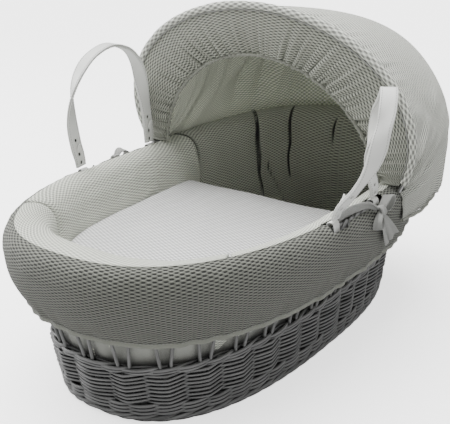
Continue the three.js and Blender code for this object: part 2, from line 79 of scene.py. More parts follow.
HOOD_LEAN = math.radians(9.5)
HOOD_PLANE_Y, HOOD_PLANE_Z, HOOD_MIDDLE_UP = 86, 268, 66
RIDGE_HALF_WIDTH, RIDGE_HALF_HEIGHT = 267, 195
HOOD_MIDDLE = np.array([0, 200, 250])
HINGE_X, HINGE_Z = 232, 263
THREAD_PITCH = 1.15


# ------------------------------------------------------------------ shape helpers
def signed_power(value, power):
    return np.sign(value) * np.abs(value) ** power


def smooth(k):
    k = np.clip(k, 0, 1)
    return k * k * (3 - 2 * k)


def lengths(points):
    """Distance along a line of points, from 0 at the first."""
    return np.concatenate([[0], np.cumsum(np.linalg.norm(np.diff(points, axis=0), axis=1))])


def unit(vectors):
    return vectors / np.linalg.norm(vectors, axis=-1, keepdims=True)


def read_line(line, known, wanted):
    """Points of a line whose own points stand at "known", read off at "wanted"."""
    return np.stack([np.interp(wanted, known, column) for column in line.T], -1)


def inward(points, centre):
    """Level unit directions from the points towards a centre."""
    toward = np.asarray(centre, float) - points
    toward[..., 2] = 0
    return toward / np.maximum(np.linalg.norm(toward, axis=-1, keepdims=True), 1e-9)


def oval(angle, half_length, half_width, exponent, middle_y, offset, z):
    """Points (mm) on an oval at angles counted from the foot towards +X."""
    angle, z, offset = np.broadcast_arrays(
        np.asarray(angle, float), np.asarray(z, float), np.asarray(offset, float))
    power = 2 / exponent
    s, c = np.sin(angle), np.cos(angle)
    x = half_width * signed_power(s, power)
    y = -half_length * signed_power(c, power)
    nx = signed_power(s, 2 - power) / half_width
    ny = -signed_power(c, 2 - power) / half_length
    size = np.hypot(nx, ny)
    return np.stack([x + offset * nx / size, y + offset * ny / size + middle_y, z], -1)


def table_oval(table, angle, z, offset):
    z = np.asarray(z, float)
    columns = [np.interp(z, table[:, 0], table[:, k]) for k in range(1, 5)]
    return oval(angle, *columns, offset, z)


def wall(angle, z, offset):
    return table_oval(WALL, angle, z, offset)


def crest(angle):
    """Height of the rim's crest at an angle round the basket."""
    y = wall(angle, 240.0, 0.0)[..., 1]
    return RIM_HEIGHT + RIM_RISE * np.clip(y / RIM_HALF_LENGTH, 0, 1) ** 2


def rim(angle, drop, offset):
    points = wall(angle, 240.0, offset)
    points[..., 2] = crest(angle) - drop
    return points


def uniform_angles(count, z=120.0):
    """Angles that step evenly along the wall's length, starting at the head."""
    fine = np.linspace(-math.pi, math.pi, 4001)
    points = wall(fine, z, 0.0)
    length = lengths(points)
    return np.interp(np.arange(count) / count * length[-1], length, fine)


def waves(u, v, count, longest, shortest, seed):
    """Smooth seeded noise about 1 high; u and v in mm, wavelengths in mm."""
    local = np.random.default_rng(seed)
    total = np.zeros(np.broadcast(u, v).shape)
    for _ in range(count):
        length = math.exp(local.uniform(math.log(shortest), math.log(longest)))
        turn = local.uniform(0, 2 * math.pi)
        phase = local.uniform(0, 2 * math.pi)
        total = total + np.sin(
            (u * math.cos(turn) + v * math.sin(turn)) * 2 * math.pi / length + phase)
    return total / math.sqrt(count)


def grid_normals(points, closed_u=False):
    """Unit normals of a grid of points [i, j]."""
    if closed_u:
        du = np.roll(points, -1, 0) - np.roll(points, 1, 0)
    else:
        du = np.gradient(points, axis=0)
    dv = np.gradient(points, axis=1)
    normal = np.cross(du, dv)
    return normal / np.maximum(np.linalg.norm(normal, axis=-1, keepdims=True), 1e-9)


def grid_uv(points, closed_u=False, closed_v=False):
    """Cloth coordinates of a grid in metres: along i and along j, from the grid's own lengths."""
    if closed_v:
        points = np.concatenate([points, points[:, :1]], 1)
    middle = points[:, points.shape[1] // 2]
    if closed_u:
        middle = np.vstack([middle, middle[:1]])
    u = lengths(middle)
    steps = np.linalg.norm(np.diff(points, axis=1), axis=2).mean(0)
    v = np.concatenate([[0], np.cumsum(steps)])
    uu, vv = np.meshgrid(u, v, indexing="ij")
    return np.stack([uu, vv], -1) * MM


class Sheets:
    """Collects grids and tubes in mm, then makes one mesh object in metres."""

    def __init__(self):
        self.vertices, self.faces, self.uvs, self.count = [], [], [], 0

    def grid(self, points, uv=None, closed_u=False, closed_v=False, flip=False):
        rows, columns = points.shape[:2]
        if uv is None:
            uv = grid_uv(points, closed_u, closed_v)
        i = np.arange(rows if closed_u else rows - 1)
        j = np.arange(columns if closed_v else columns - 1)
        ii, jj = np.meshgrid(i, j, indexing="ij")
        i1, j1 = (ii + 1) % rows, (jj + 1) % columns
        corners = ((ii, jj), (i1, jj), (i1, j1), (ii, j1))
        quads = np.stack([a * columns + b + self.count for a, b in corners], -1).reshape(-1, 4)
        corner = np.stack([
            uv[ii, jj], uv[ii + 1, jj], uv[ii + 1, jj + 1], uv[ii, jj + 1]], -2).reshape(-1, 4, 2)
        if flip:
            quads, corner = quads[:, ::-1], corner[:, ::-1]
        self.vertices.append(points.reshape(-1, 3))
        self.faces.append(quads)
        self.uvs.append(corner)
        self.count += rows * columns
        return self

    def tube(self, path, radius, sides=7, closed=False, across=(0, 0, 1)):
        """A round rod along a path. "across" is never along the path."""
        path = np.asarray(path, float)
        if closed:
            tangent = np.roll(path, -1, 0) - np.roll(path, 1, 0)
        else:
            tangent = np.gradient(path, axis=0)
        tangent = unit(tangent)
        across = np.broadcast_to(np.asarray(across, float), path.shape)
        first = unit(across - tangent * (across * tangent).sum(1, keepdims=True))
        second = np.cross(tangent, first)
        radius = np.broadcast_to(np.asarray(radius, float), (len(path),))[:, None, None]
        angle = (np.arange(sides) * 2 * math.pi / sides)[None, :, None]
        ring = path[:, None, :] + radius * (
            np.cos(angle) * first[:, None, :] + np.sin(angle) * second[:, None, :])
        along = lengths(path)
        step = along[-1] / max(len(along) - 1, 1)
        if closed:
            along = np.append(along, along[-1] + step)
        offset = rng.uniform(0, 30)
        girth = 2 * math.pi * float(radius.mean()) * MM
        uu, vv = np.meshgrid(
            along * MM + offset, np.arange(sides + 1) / sides * girth, indexing="ij")
        self.grid(ring, np.stack([uu, vv], -1), closed_u=closed, closed_v=True, flip=True)
        if not closed:
            self.cap(ring[0], True)
            self.cap(ring[-1], False)
        return self

    def cap(self, ring, first):
        """Closes a tube's end with a slightly domed fan."""
        middle = ring.mean(0)
        size = len(ring)
        base = self.count
        self.vertices.append(np.vstack([ring, middle]))
        k = np.arange(size)
        fan = np.stack([k, (k + 1) % size, np.full(size, size), np.full(size, size)], -1) + base
        if not first:
            fan = fan[:, [1, 0, 2, 3]]
        self.faces.append(fan)
        self.uvs.append(np.zeros((size, 4, 2)))
        self.count += size + 1

    def make(self, name, material, body, *nodes, slot=None):
        """One object of all the sheets, on its body, in place of the named CAD nodes."""
        vertices = np.vstack(self.vertices) * MM
        faces = np.vstack(self.faces)
        corner = np.vstack(self.uvs)
        polygons = [list(dict.fromkeys(face)) for face in faces.tolist()]
        mesh = bpy.data.meshes.new(name)
        mesh.from_pydata(vertices.tolist(), [], polygons)
        layer = mesh.uv_layers.new(name="cloth")
        flat = np.concatenate([
            corner[k, :len(polygon)] for k, polygon in enumerate(polygons)])
        layer.data.foreach_set("uv", flat.astype(np.float32).ravel())
        mesh.polygons.foreach_set("use_smooth", [True] * len(polygons))
        mesh.update()
        piece = bpy.data.objects.new(name, mesh)
        bpy.context.scene.collection.objects.link(piece)
        with editing(piece) as data:
            bmesh.ops.remove_doubles(data, verts=data.verts, dist=1e-6)
        mesh.materials.append(material)
        if body:
            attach(piece, body)
        if nodes:
            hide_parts(*nodes)
        return piece


@contextmanager
def editing(piece):
    """The piece's mesh opened for editing, and written back at the end."""
    data = bmesh.new()
    data.from_mesh(piece.data)
    yield data
    data.to_mesh(piece.data)
    data.free()


def fix_normals(piece):
    with editing(piece) as data:
        bmesh.ops.remove_doubles(data, verts=data.verts, dist=1e-5)
        bmesh.ops.recalc_face_normals(data, faces=data.faces)


def vertex_array(piece):
    flat = np.empty(len(piece.data.vertices) * 3)
    piece.data.vertices.foreach_get("co", flat)
    return flat.reshape(-1, 3)


def set_vertices(piece, points):
    piece.data.vertices.foreach_set("co", points.astype(np.float32).ravel())
    piece.data.update()


def thicken(piece, thickness, offset=-1.0):
    """Gives a sheet of cloth its thickness in mm: inwards, or to both sides at offset 0."""
    modifier = piece.modifiers.new("cloth thickness", "SOLIDIFY")
    modifier.thickness = thickness * MM
    modifier.offset = offset


def subdivide(piece):
    modifier = piece.modifiers.new("smooth", "SUBSURF")
    modifier.levels = modifier.render_levels = 1


# ------------------------------------------------------------------ materials
class Look:
    """A node material under construction."""

    def __init__(self, name, roughness=0.8, sheen=0.0, metallic=0.0):
        self.material = bpy.data.materials.new(name)
        self.material.use_nodes = True
        self.tree = self.material.node_tree
        self.shader = self.tree.nodes["Principled BSDF"]
        self.shader.inputs["Roughness"].default_value = roughness
        self.shader.inputs["Sheen Weight"].default_value = sheen
        self.shader.inputs["Metallic"].default_value = metallic

    def put(self, socket, value):
        if isinstance(value, bpy.types.NodeSocket):
            self.tree.links.new(value, socket)
        elif isinstance(value, (tuple, list)) and len(value) == 3 and socket.type == "RGBA":
            socket.default_value = (*value, 1.0)
        else:
            socket.default_value = value

    def node(self, kind, inputs=None, **settings):
        made = self.tree.nodes.new(kind)
        for key, value in settings.items():
            setattr(made, key, value)
        for key, value in (inputs or {}).items():
            self.put(made.inputs[key], value)
        return made

    def math(self, operation, a, b=0.0):
        return self.node("ShaderNodeMath", {0: a, 1: b}, operation=operation).outputs[0]

    def times(self, a, b):
        return self.math("MULTIPLY", a, b)

    def plus(self, a, b):
        return self.math("ADD", a, b)

    def sine(self, a):
        return self.math("SINE", a)

    def cloth(self):
        uv = self.node("ShaderNodeUVMap", uv_map="cloth")
        parts = self.node("ShaderNodeSeparateXYZ", {0: uv.outputs[0]})
        return parts.outputs[0], parts.outputs[1]

    def place(self):
        return self.node("ShaderNodeTexCoord").outputs["Object"]

    def noise(self, scale, detail=3.0, vector=None):
        made = self.node("ShaderNodeTexNoise", {
            "Vector": vector or self.place(), "Scale": scale, "Detail": detail,
            "Roughness": 0.55})
        return made.outputs["Fac"]

    def grain(self, u_scale, v_scale, detail):
        """Noise stretched along the cloth or rod."""
        u, v = self.cloth()
        stretched = self.node("ShaderNodeCombineXYZ", {
            0: self.times(u, u_scale), 1: self.times(v, v_scale)}).outputs[0]
        return self.noise(1.0, detail, stretched)

    def openness(self, distance, samples):
        """How open a point is to its surroundings: low inside folds and gaps (distance in mm)."""
        made = self.node(
            "ShaderNodeAmbientOcclusion", {"Distance": distance * MM}, samples=samples)
        return made.outputs["AO"]

    def mix(self, factor, a, b):
        made = self.node("ShaderNodeMix", data_type="RGBA")
        self.put(made.inputs[0], factor)
        self.put(made.inputs[6], a)
        self.put(made.inputs[7], b)
        return made.outputs[2]

    def span(self, value, low, high, to_low=0.0, to_high=1.0):
        made = self.node("ShaderNodeMapRange", {
            0: value, 1: low, 2: high, 3: to_low, 4: to_high}, clamp=True)
        return made.outputs[0]

    def bump(self, height, distance, strength=1.0):
        made = self.node("ShaderNodeBump", {
            "Height": height, "Distance": distance, "Strength": strength})
        self.put(self.shader.inputs["Normal"], made.outputs[0])

    def color(self, value):
        self.put(self.shader.inputs["Base Color"], value)

    def roughness(self, value):
        self.put(self.shader.inputs["Roughness"], value)


def grey(value, warm=0.0):
    """A linear grey with a little warm green in it."""
    return (value, value * (1 + 0.014 * warm), value * (1 - 0.05 * warm))


def waffle_look(name, ridge, pit, cell=(6.9, 4.8), depth=1.5, warm=2.4, shaded=False):
    """Waffle-weave cotton: sunken dashes in staggered columns, with raised floats between them.

    Ridge and pit are their tones, cell is their pitch and depth their relief (mm). The pit tone is
    painted shade in the sunken dashes, and the floats get a painted highlight above the ridge
    tone.
    A shaded cloth gets painted shade inside its own folds.
    """
    look = Look(name, roughness=0.92, sheen=0.15)
    u, v = look.cloth()
    turns = 2 * math.pi / MM
    drift = look.times(look.noise(26.0, 2.0), 1.8)
    wave_u = look.math("COSINE", look.plus(look.times(u, turns / (2 * cell[0])), drift))
    wave_v = look.math("COSINE", look.plus(look.times(v, turns / cell[1]), drift))
    checker = look.times(wave_u, wave_v)
    sunk = look.span(checker, 0.02, 0.55)
    raised = look.span(checker, -0.85, -0.25, 1.0, 0.0)
    per_thread = turns / THREAD_PITCH
    threads = look.times(
        look.sine(look.times(u, per_thread)), look.sine(look.times(v, per_thread)))
    fuzz = look.noise(800.0, 2.0)
    base = look.mix(look.noise(9.0, 4.0), grey(ridge * 0.9, warm), grey(ridge * 1.06, warm))
    # Painted highlight: the raised floats are coloured up to 1.7 times the ridge tone.
    lit = look.mix(look.times(raised, 0.7), base, grey(ridge * 1.7, warm))
    # Painted shade: the sunk dashes take the dark pit tone.
    tone = look.mix(sunk, lit, grey(pit, warm))
    if shaded:
        # Painted shade inside the cloth's own folds, where little of the surroundings is open.
        fold_shade = look.span(look.openness(13, 8), 0.4, 0.85, 1.0, 0.0)
        tone = look.mix(fold_shade, tone, grey(pit * 0.04, warm))
    look.color(look.mix(look.span(fuzz, 0.35, 0.75, 0.0, 0.1), tone, grey(ridge * 1.15, warm)))
    height = look.math("SUBTRACT", look.times(threads, 0.05), sunk)
    height = look.plus(height, look.times(fuzz, 0.1))
    look.bump(look.plus(height, look.times(raised, 0.25)), depth * MM, 1.0)
    return look.material


def plain_cloth_look(name, tone, warm=1.0, crease=0.25, shade=0.0):
    """Plain-weave cotton with fine threads and soft creases, with painted shade in its corners set
    by shade.
    """
    look = Look(name, roughness=0.9, sheen=0.2)
    u, v = look.cloth()
    turns = 2 * math.pi / (0.9 * MM)
    weave = look.times(look.sine(look.times(u, turns)), look.sine(look.times(v, turns)))
    cloth = look.mix(look.noise(14.0, 5.0), grey(tone * 0.9, warm), grey(tone * 1.08, warm))
    # Painted shade where folds and nearby parts close the cloth in.
    corner_shade = look.span(look.openness(22, 6), 0.35, 0.9, shade, 0.0)
    look.color(look.mix(corner_shade, cloth, grey(tone * 0.08, warm)))
    folds = look.times(look.noise(45.0), crease)
    look.bump(look.plus(look.times(weave, 0.12), folds), 1.5 * MM, 0.7)
    return look.material


def willow_look():
    """Painted willow: dark charcoal over long grain, rubbed lighter here and there."""
    look = Look("painted willow", roughness=0.5)
    grain = look.grain(35.0, 420.0, 6.0)
    knots = look.grain(9.0, 90.0, 2.0)
    worn = look.noise(55.0, 5.0)
    paint = look.mix(grain, grey(0.065, 0.2), grey(0.33, 0.2))
    paint = look.mix(look.span(knots, 0.55, 0.75, 0.0, 0.5), paint, grey(0.022, 0.3))
    paint = look.mix(look.span(worn, 0.6, 0.8, 0.0, 0.45), paint, grey(0.2, 0.5))
    # Painted shade: near black where the rods close in on each other, in the gaps of the weave.
    look.color(look.mix(look.span(look.openness(9, 6), 0.38, 0.9), grey(0.004), paint))
    look.roughness(look.span(grain, 0.3, 0.7, 0.33, 0.55))
    look.bump(look.plus(grain, look.times(knots, 0.6)), 0.5 * MM, 0.8)
    return look.material


def leatherette_look():
    """Off-white coated leather with a fine pebbled grain."""
    look = Look("leatherette", roughness=0.42)
    cells = look.node("ShaderNodeTexVoronoi", {"Vector": look.place(), "Scale": 900.0})
    soil = look.noise(30.0, 4.0)
    look.color(look.mix(soil, grey(0.70, 0.6), grey(0.82, 0.6)))
    look.roughness(look.span(soil, 0.3, 0.7, 0.36, 0.5))
    look.bump(cells.outputs["Distance"], 0.25 * MM, 0.5)
    return look.material


def thread_look(name, tone):
    """Sewing thread with its twist."""
    look = Look(name, roughness=0.7)
    u, v = look.cloth()
    twist = look.sine(look.plus(look.times(u, 6000.0), look.times(v, 2500.0)))
    # Painted shade: the thread is darker in the grooves of its twist.
    look.color(look.mix(look.span(twist, -1, 1), grey(tone * 0.8, 0.5), grey(tone, 0.5)))
    look.bump(twist, 0.15 * MM, 0.6)
    return look.material


def dark_look():
    look = Look("shadowed slot", roughness=0.9)
    look.color(look.mix(look.noise(300.0), grey(0.01), grey(0.03)))
    return look.material


def wire_look():
    look = Look("bow wire", roughness=0.35, metallic=0.9)
    scratch = look.noise(250.0, 4.0)
    look.color(look.mix(scratch, grey(0.45), grey(0.7)))
    look.roughness(look.span(scratch, 0.3, 0.7, 0.28, 0.5))
    return look.material


WILLOW = willow_look()
# Painted shade: the skirt's copy of the dressing's waffle cotton is far darker than the pads'
# copy, for the shade on its front.
WAFFLE = waffle_look("waffle cotton", ridge=0.17, pit=0.01, depth=2.4)
BAND_WAFFLE = waffle_look("band waffle cotton", ridge=0.33, pit=0.08, cell=(6.6, 4.8), depth=1.5)
HOOD_WAFFLE = waffle_look("hood waffle cotton", ridge=0.62, pit=0.24, cell=(8.0, 7.2), depth=2.0,
                          warm=1.6)
# Painted shade: the head pad's copy is darker than the other pads' copy, for the shade under the
# hood; shaded=True adds painted shade in its folds.
HEAD_WAFFLE = waffle_look("head waffle cotton", ridge=0.48, pit=0.17, cell=(6.6, 5.2),
                          depth=1.6, warm=2.2, shaded=True)
PAD_WAFFLE = waffle_look("bumper waffle cotton", ridge=0.6, pit=0.3, cell=(6.6, 5.2),
                         depth=1.1, warm=2.0)
COVER_WAFFLE = waffle_look("coverlet waffle cotton", ridge=0.66, pit=0.34, cell=(6.6, 6.2),
                           depth=1.3, warm=0.1)
LINING = waffle_look("hood lining", ridge=0.84, pit=0.5, cell=(6.0, 4.8), depth=0.9, warm=2.1)
# Painted shade (shade=0.9) in the white cotton's folds and between the stakes in front of it.
COTTON = plain_cloth_look("white cotton", 0.42, warm=1.5, crease=0.8, shade=0.9)
BINDING = plain_cloth_look("binding", 0.24, warm=2.4, crease=0.5)
SASH = plain_cloth_look("tie cotton", 0.34, warm=0.8, crease=0.4)
LEATHER = leatherette_look()
THREAD = thread_look("stitching", 0.4)
WHITE_THREAD = thread_look("white stitching", 0.5)
SLOT_DARK = dark_look()
bow_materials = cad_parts["hood_bow"].data.materials
bow_materials.clear()
bow_materials.append(wire_look())


# ------------------------------------------------------------------ willow basket
GROUP_ANGLES = uniform_angles(STAKE_GROUPS)
PER_GROUP = 12
GROUP_SPACING = 55
PAIR_GAP = 7.2
PAIRING_SWING, PAIRING_LIFT, PAIRING_RADIUS = 8.8, 1.9, 2.1


def around(per_group=PER_GROUP):
    """Position round the basket in stake groups, and the matching angles."""
    u = np.arange(STAKE_GROUPS * per_group) / per_group
    wrapped = np.append(GROUP_ANGLES, GROUP_ANGLES[0] + 2 * math.pi)
    return u, np.interp(u, np.arange(STAKE_GROUPS + 1), wrapped)


def bent_wave(u):
    """Between a triangle and a cosine: 1 at even groups, -1 at odd ones."""
    t = np.mod(u, 2.0)
    triangle = 1 - 2 * np.minimum(t, 2 - t)
    return 0.72 * triangle + 0.28 * np.cos(math.pi * u)


def pairing_row(sheets, z, sides=8, per_group=PER_GROUP):
    """Two rods twined round the stake pairs; each passes outside one pair, inside the next."""
    u, angle = around(per_group)
    drift = 0.5 * np.sin(u * 2 * math.pi * rng.integers(2, 5) / STAKE_GROUPS + rng.uniform(0, 6))
    for side in (1, -1):
        height = z + drift + side * PAIRING_LIFT * np.sin(math.pi * u)
        wobble = waves(u * GROUP_SPACING, 0, 5, 260, 90, int(rng.integers(1e6)))
        offset = side * PAIRING_SWING * bent_wave(u) + 0.4 * wobble
        path = wall(angle, height + 0.35 * wobble, offset)
        uneven = waves(u * GROUP_SPACING, 0, 4, 900, 300, int(rng.integers(1e6)))
        thick = PAIRING_RADIUS * (1 + 0.08 * uneven)
        sheets.tube(path, thick, sides, closed=True)


def wale_row(sheets, z, swing, lift, radius):
    """Three rods laid in a rope round the stakes; each goes round once in two stake groups."""
    u, angle = around()
    for k in range(3):
        phase = 2 * math.pi * (u / STAKE_GROUPS * (STAKE_GROUPS // 2) + k / 3)
        wobble = waves(u * GROUP_SPACING, 0, 4, 260, 90, int(rng.integers(1e6)))
        height = z + lift * np.sin(phase) + 0.3 * wobble
        path = wall(angle, height, swing * np.cos(phase) + 0.3 * wobble)
        sheets.tube(path, radius, 8, closed=True)


def stake_pairs(sheets, z_low, z_high):
    """Two stakes side by side at every group, spreading a little as they rise."""
    for angle in GROUP_ANGLES:
        for side in (-1, 1):
            z = np.linspace(z_low, z_high, 6)
            middle = wall(np.full(6, angle), z, 0.0)
            along = unit(wall(np.full(6, angle + 0.01), z, 0.0) - middle)
            gap = np.linspace(3.2, PAIR_GAP, 6)[:, None]
            sheets.tube(middle + along * side * gap, 2.6, 7, across=(1, 0.3, 0))


def build_foot_border():
    """Five rods in a rolled rope that the basket stands on."""
    sheets = Sheets()
    u, angle = around()
    for k in range(5):
        phase = 2 * math.pi * (u * 12 / STAKE_GROUPS + k / 5)
        path = wall(angle, 8.2 + 4.2 * np.sin(phase), -0.8 + 5.2 * np.cos(phase))
        sheets.tube(path, 3.7, 8, closed=True)
    sheets.make("willow_foot_border", WILLOW, "basket", "foot_border", slot="willow")


def build_lower_weave():
    """Three wale rows, close pairing rows and two more wale rows round the stake pairs."""
    sheets = Sheets()
    stake_pairs(sheets, 9, 96)
    for z in (18.5, 24.5, 30.5):
        wale_row(sheets, z, swing=6.8, lift=1.6, radius=2.6)
    for z in np.arange(37.0, 84.0, 6.6):
        pairing_row(sheets, z)
    wale_row(sheets, 87.0, swing=5.4, lift=1.4, radius=2.5)
    wale_row(sheets, 91.5, swing=5.2, lift=1.4, radius=2.5)
    sheets.make("willow_lower_weave", WILLOW, "basket", "lower_weave", slot="willow")


def build_lattice():
    """Stakes of the open band: the two of each pair lean away from each other."""
    sheets = Sheets()
    for k in range(STAKE_GROUPS):
        for side in (1, -1):
            rise = np.linspace(0, 1, 10)
            z = 90 + rise * 84
            lean = PAIR_GAP + rng.uniform(7.0, 10.5) * rise + rng.uniform(-0.8, 0.8)
            path = wall(np.full(10, GROUP_ANGLES[k]), z, 1.0 + rng.uniform(-0.6, 0.6))
            path[:, :2] += np.outer(side * lean, tangent_at(GROUP_ANGLES[k]))
            sheets.tube(path, 2.5, 8, across=(*outward_at(GROUP_ANGLES[k]), 0))
    sheets.make("willow_stake_lattice", WILLOW, "basket", "stake_lattice", slot="willow")


def tangent_at(angle):
    return unit((wall(angle + 0.01, 120.0, 0.0) - wall(angle - 0.01, 120.0, 0.0))[:2])


def outward_at(angle):
    return unit((wall(angle, 120.0, 5.0) - wall(angle, 120.0, 0.0))[:2])


def build_upper_weave():
    """Pairing rows that close the open band; the skirt hides most of them."""
    sheets = Sheets()
    for z in np.arange(174, 218, 8.5):
        pairing_row(sheets, z, sides=6, per_group=8)
    sheets.make("willow_upper_weave", WILLOW, "basket", "upper_weave", slot="willow")


def build_rim_border():
    """Five rods in a rolled rope under the dressing, rising towards the head."""
    sheets = Sheets()
    u, angle = around(8)
    for k in range(5):
        phase = 2 * math.pi * (u * 20 / STAKE_GROUPS + k / 5)
        path = rim(angle, 20 - 5.2 * np.sin(phase), 5.2 * np.cos(phase))
        sheets.tube(path, 3.6, 7, closed=True)
    sheets.make("willow_rim_border", WILLOW, "basket", "rim_border", slot="willow")


def build_base():
    """Underside: rods woven in ovals over and under a fan of base sticks."""
    sheets = Sheets()
    for row, inset in enumerate(np.arange(15, 168, 7.5)):
        share = 1 - inset / 169
        angle = np.arange(220) / 220 * 2 * math.pi
        half_width, half_length = 169 * share, 348 - inset
        swing = 2.0 * np.cos(angle * 22 + row * math.pi)
        points = oval(angle, half_length, half_width, 2.5, 7, 0.0, 5.2 + swing)
        sheets.tube(points, 2.6, 6, closed=True, across=(0, 0, 1))
    for k in range(44):
        angle = (k + 0.5) / 44 * 2 * math.pi
        outer = oval(angle, 338, 158, 2.5, 7, 0.0, 5.2)
        reach = np.linspace(0.06, 1, 9)[:, None]
        core = np.array([0, 7 + np.clip(outer[1] - 7, -178, 178), 5.2])
        sheets.tube(core + (outer - core) * reach, 2.0, 6, across=(0, 0, 1))
    sheets.make("willow_base", WILLOW, "basket", "base_weave", slot="willow")


build_foot_border()
build_lower_weave()
build_lattice()
build_upper_weave()
build_rim_border()
build_base()


# ------------------------------------------------------------------ dressing
def build_inner_lining():
    """White cotton behind the open band, in loose upright folds."""
    angle = uniform_angles(420)
    z = np.array([20, 60, 92, 104, 118, 132, 146, 160, 172, 190, 208, 218], float)
    aa, zz = np.meshgrid(angle, z, indexing="ij")
    along = np.arange(420)[:, None] / 420 * 1900 + 0 * zz
    loose = np.interp(zz, [90, 110, 165, 180], [0.2, 1, 1, 0.2])
    fold = 3.0 * waves(along, zz * 0.15, 8, 60, 18, 31) * loose
    points = wall(aa, zz, -9.2 + np.clip(fold, -3.4, 3.2))
    sheets = Sheets().grid(points, closed_u=True)
    piece = sheets.make("cotton_inner_lining", COTTON, "basket", "inner_lining",
                        slot="lining_cotton")
    thicken(piece, 0.8)


# The skirt's path over the rim. Columns: distance outwards, drop below the crest (mm).
SKIRT_OVER = np.array([
    [-11.5, 12], [-8.5, 6.5], [-4, 1.8], [0, 0], [4, 0.2], [8.5, 1.9],
    [12.5, 5], [16, 10], [18.2, 16], [19.6, 24], [20, 32]], float)
SKIRT_COUNT, SKIRT_LENGTH = 760, 2050
# Where the handles come through the skirt: from and to in Y on each side, the height that the
# slits start at, and how far from the middle they run (mm).
SLIT_LEFT, SLIT_RIGHT = (-134, 78), (-116, 46)
SLIT_ABOVE, SLIT_IN, SLIT_OUT = 247, 220.5, 240
# Rows of a pad's upright face, and how far its lip lies above the skirt's crest line (mm).
UPRIGHT_ROWS, LIP_LIFT = 12, 3.3


def skirt_round():
    """Angles and cloth distance (mm) round the skirt's hem, and the ruffle of its gathers."""
    angle = uniform_angles(SKIRT_COUNT, 200.0)
    along = np.arange(SKIRT_COUNT) / SKIRT_COUNT * SKIRT_LENGTH
    return angle, along, 1.7 * waves(along, 0, 9, 60, 18, 5)


def build_skirt():
    """Outer dressing: rolls over the rim, hangs to its hem and is lightly gathered there."""
    angle, along, ruffle = skirt_round()
    along = along[:, None]
    over = rim(angle[:, None], SKIRT_OVER[None, :, 1], SKIRT_OVER[None, :, 0])
    shoulder = over[:, -1]
    hem = oval(angle, *HEM_OVAL, 0.0, 150.0)
    outward = unit(hem - oval(angle, *HEM_OVAL, -5.0, 150.0))
    rows = np.linspace(0, 1, 24)[1:]
    hang = shoulder[:, None] + (hem - shoulder)[:, None] * rows[None, :, None]
    bulge = 5 * np.sin(rows * math.pi)[None, :]
    gather = np.clip(rows - 0.45, 0, 1)[None, :] / 0.55
    ruffle = gather * ruffle[:, None]
    sag = 1.6 * waves(along, rows[None, :] * 110, 6, 420, 120, 6) * np.sin(rows * math.pi)[None, :]
    hang = hang + outward[:, None] * (bulge + ruffle + sag)[..., None]
    pucker = 0.5 * waves(along, SKIRT_OVER[None, :, 0] * 2, 8, 60, 16, 8)
    over = over + grid_normals(over, True) * -pucker[..., None]
    points = np.concatenate([over, hang], 1)
    sheets = Sheets().grid(points, closed_u=True)
    piece = sheets.make("waffle_skirt", WAFFLE, "basket", "liner_skirt", slot="waffle_fabric")
    cut_slits(piece)
    thicken(piece, 1.6)


def cut_slits(piece):
    """Opens the crest of the skirt on both sides where the handles come through."""
    with editing(piece) as data:
        gone = []
        for face in data.faces:
            x, y, z = face.calc_center_median() / MM
            first, last = SLIT_LEFT if x < 0 else SLIT_RIGHT
            if first < y < last and z > SLIT_ABOVE and SLIT_IN < abs(x) < SLIT_OUT:
                gone.append(face)
        bmesh.ops.delete(data, geom=gone, context="FACES")


def build_hem_band():
    """Bound, elasticated lower edge of the skirt."""
    angle, along, ruffle = skirt_round()
    z = np.array([150.5, 149.5, 147, 144.5, 142, 141, 141.2, 143, 147, 149.5])
    offset = np.array([-0.9, 0.5, 1.2, 1.3, 1.0, 0.0, -1.4, -2.0, -2.0, -1.6])
    fine = 0.35 * waves(along, 0, 6, 14, 8, 15)
    reach = offset[None, :] + ruffle[:, None] + fine[:, None]
    points = oval(angle[:, None], *HEM_OVAL, reach, z[None, :])
    sheets = Sheets().grid(points, closed_u=True)
    sheets.make("waffle_skirt_hem", BINDING, "basket", "skirt_hem", slot="waffle_fabric")


SWELL_FRAMES = 20


def swell(piece, firm, pressure, cap):
    """Puffs a closed pad with the cloth solver, by "cap" mm at most. "firm" points stay still."""
    rest = vertex_array(piece)
    group = piece.vertex_groups.new(name="firm")
    group.add(np.flatnonzero(firm).tolist(), 1.0, "REPLACE")
    cloth = piece.modifiers.new("swell", "CLOTH")
    cloth.settings.vertex_group_mass = "firm"
    cloth.settings.use_pressure = True
    cloth.settings.uniform_pressure_force = pressure
    cloth.settings.effector_weights.gravity = 0
    cloth.settings.quality = 4
    cloth.point_cache.frame_start = 1
    cloth.point_cache.frame_end = SWELL_FRAMES
    for number in range(1, SWELL_FRAMES + 1):
        bpy.context.scene.frame_set(number)
    swollen = piece.evaluated_get(bpy.context.evaluated_depsgraph_get())
    flat = np.empty(len(swollen.data.vertices) * 3)
    swollen.data.vertices.foreach_get("co", flat)
    shift = flat.reshape(-1, 3) - rest
    length = np.linalg.norm(shift, axis=1, keepdims=True)
    shift *= np.minimum(1.0, cap * MM / np.maximum(length, 1e-9))
    piece.modifiers.remove(cloth)
    piece.vertex_groups.remove(group)
    set_vertices(piece, rest + shift)
    bpy.context.scene.frame_set(1)


def lip_reach(angle):
    """How far out (mm) a pad's lip laps over the rim: less where the handles come through."""
    line = rim(angle, 0.0, 0.0)
    first, last = np.where(line[:, :1] < 0, SLIT_LEFT, SLIT_RIGHT).T
    away = np.maximum(first - line[:, 1], line[:, 1] - last)
    return -1.8 + 5.4 * smooth(away / 14)


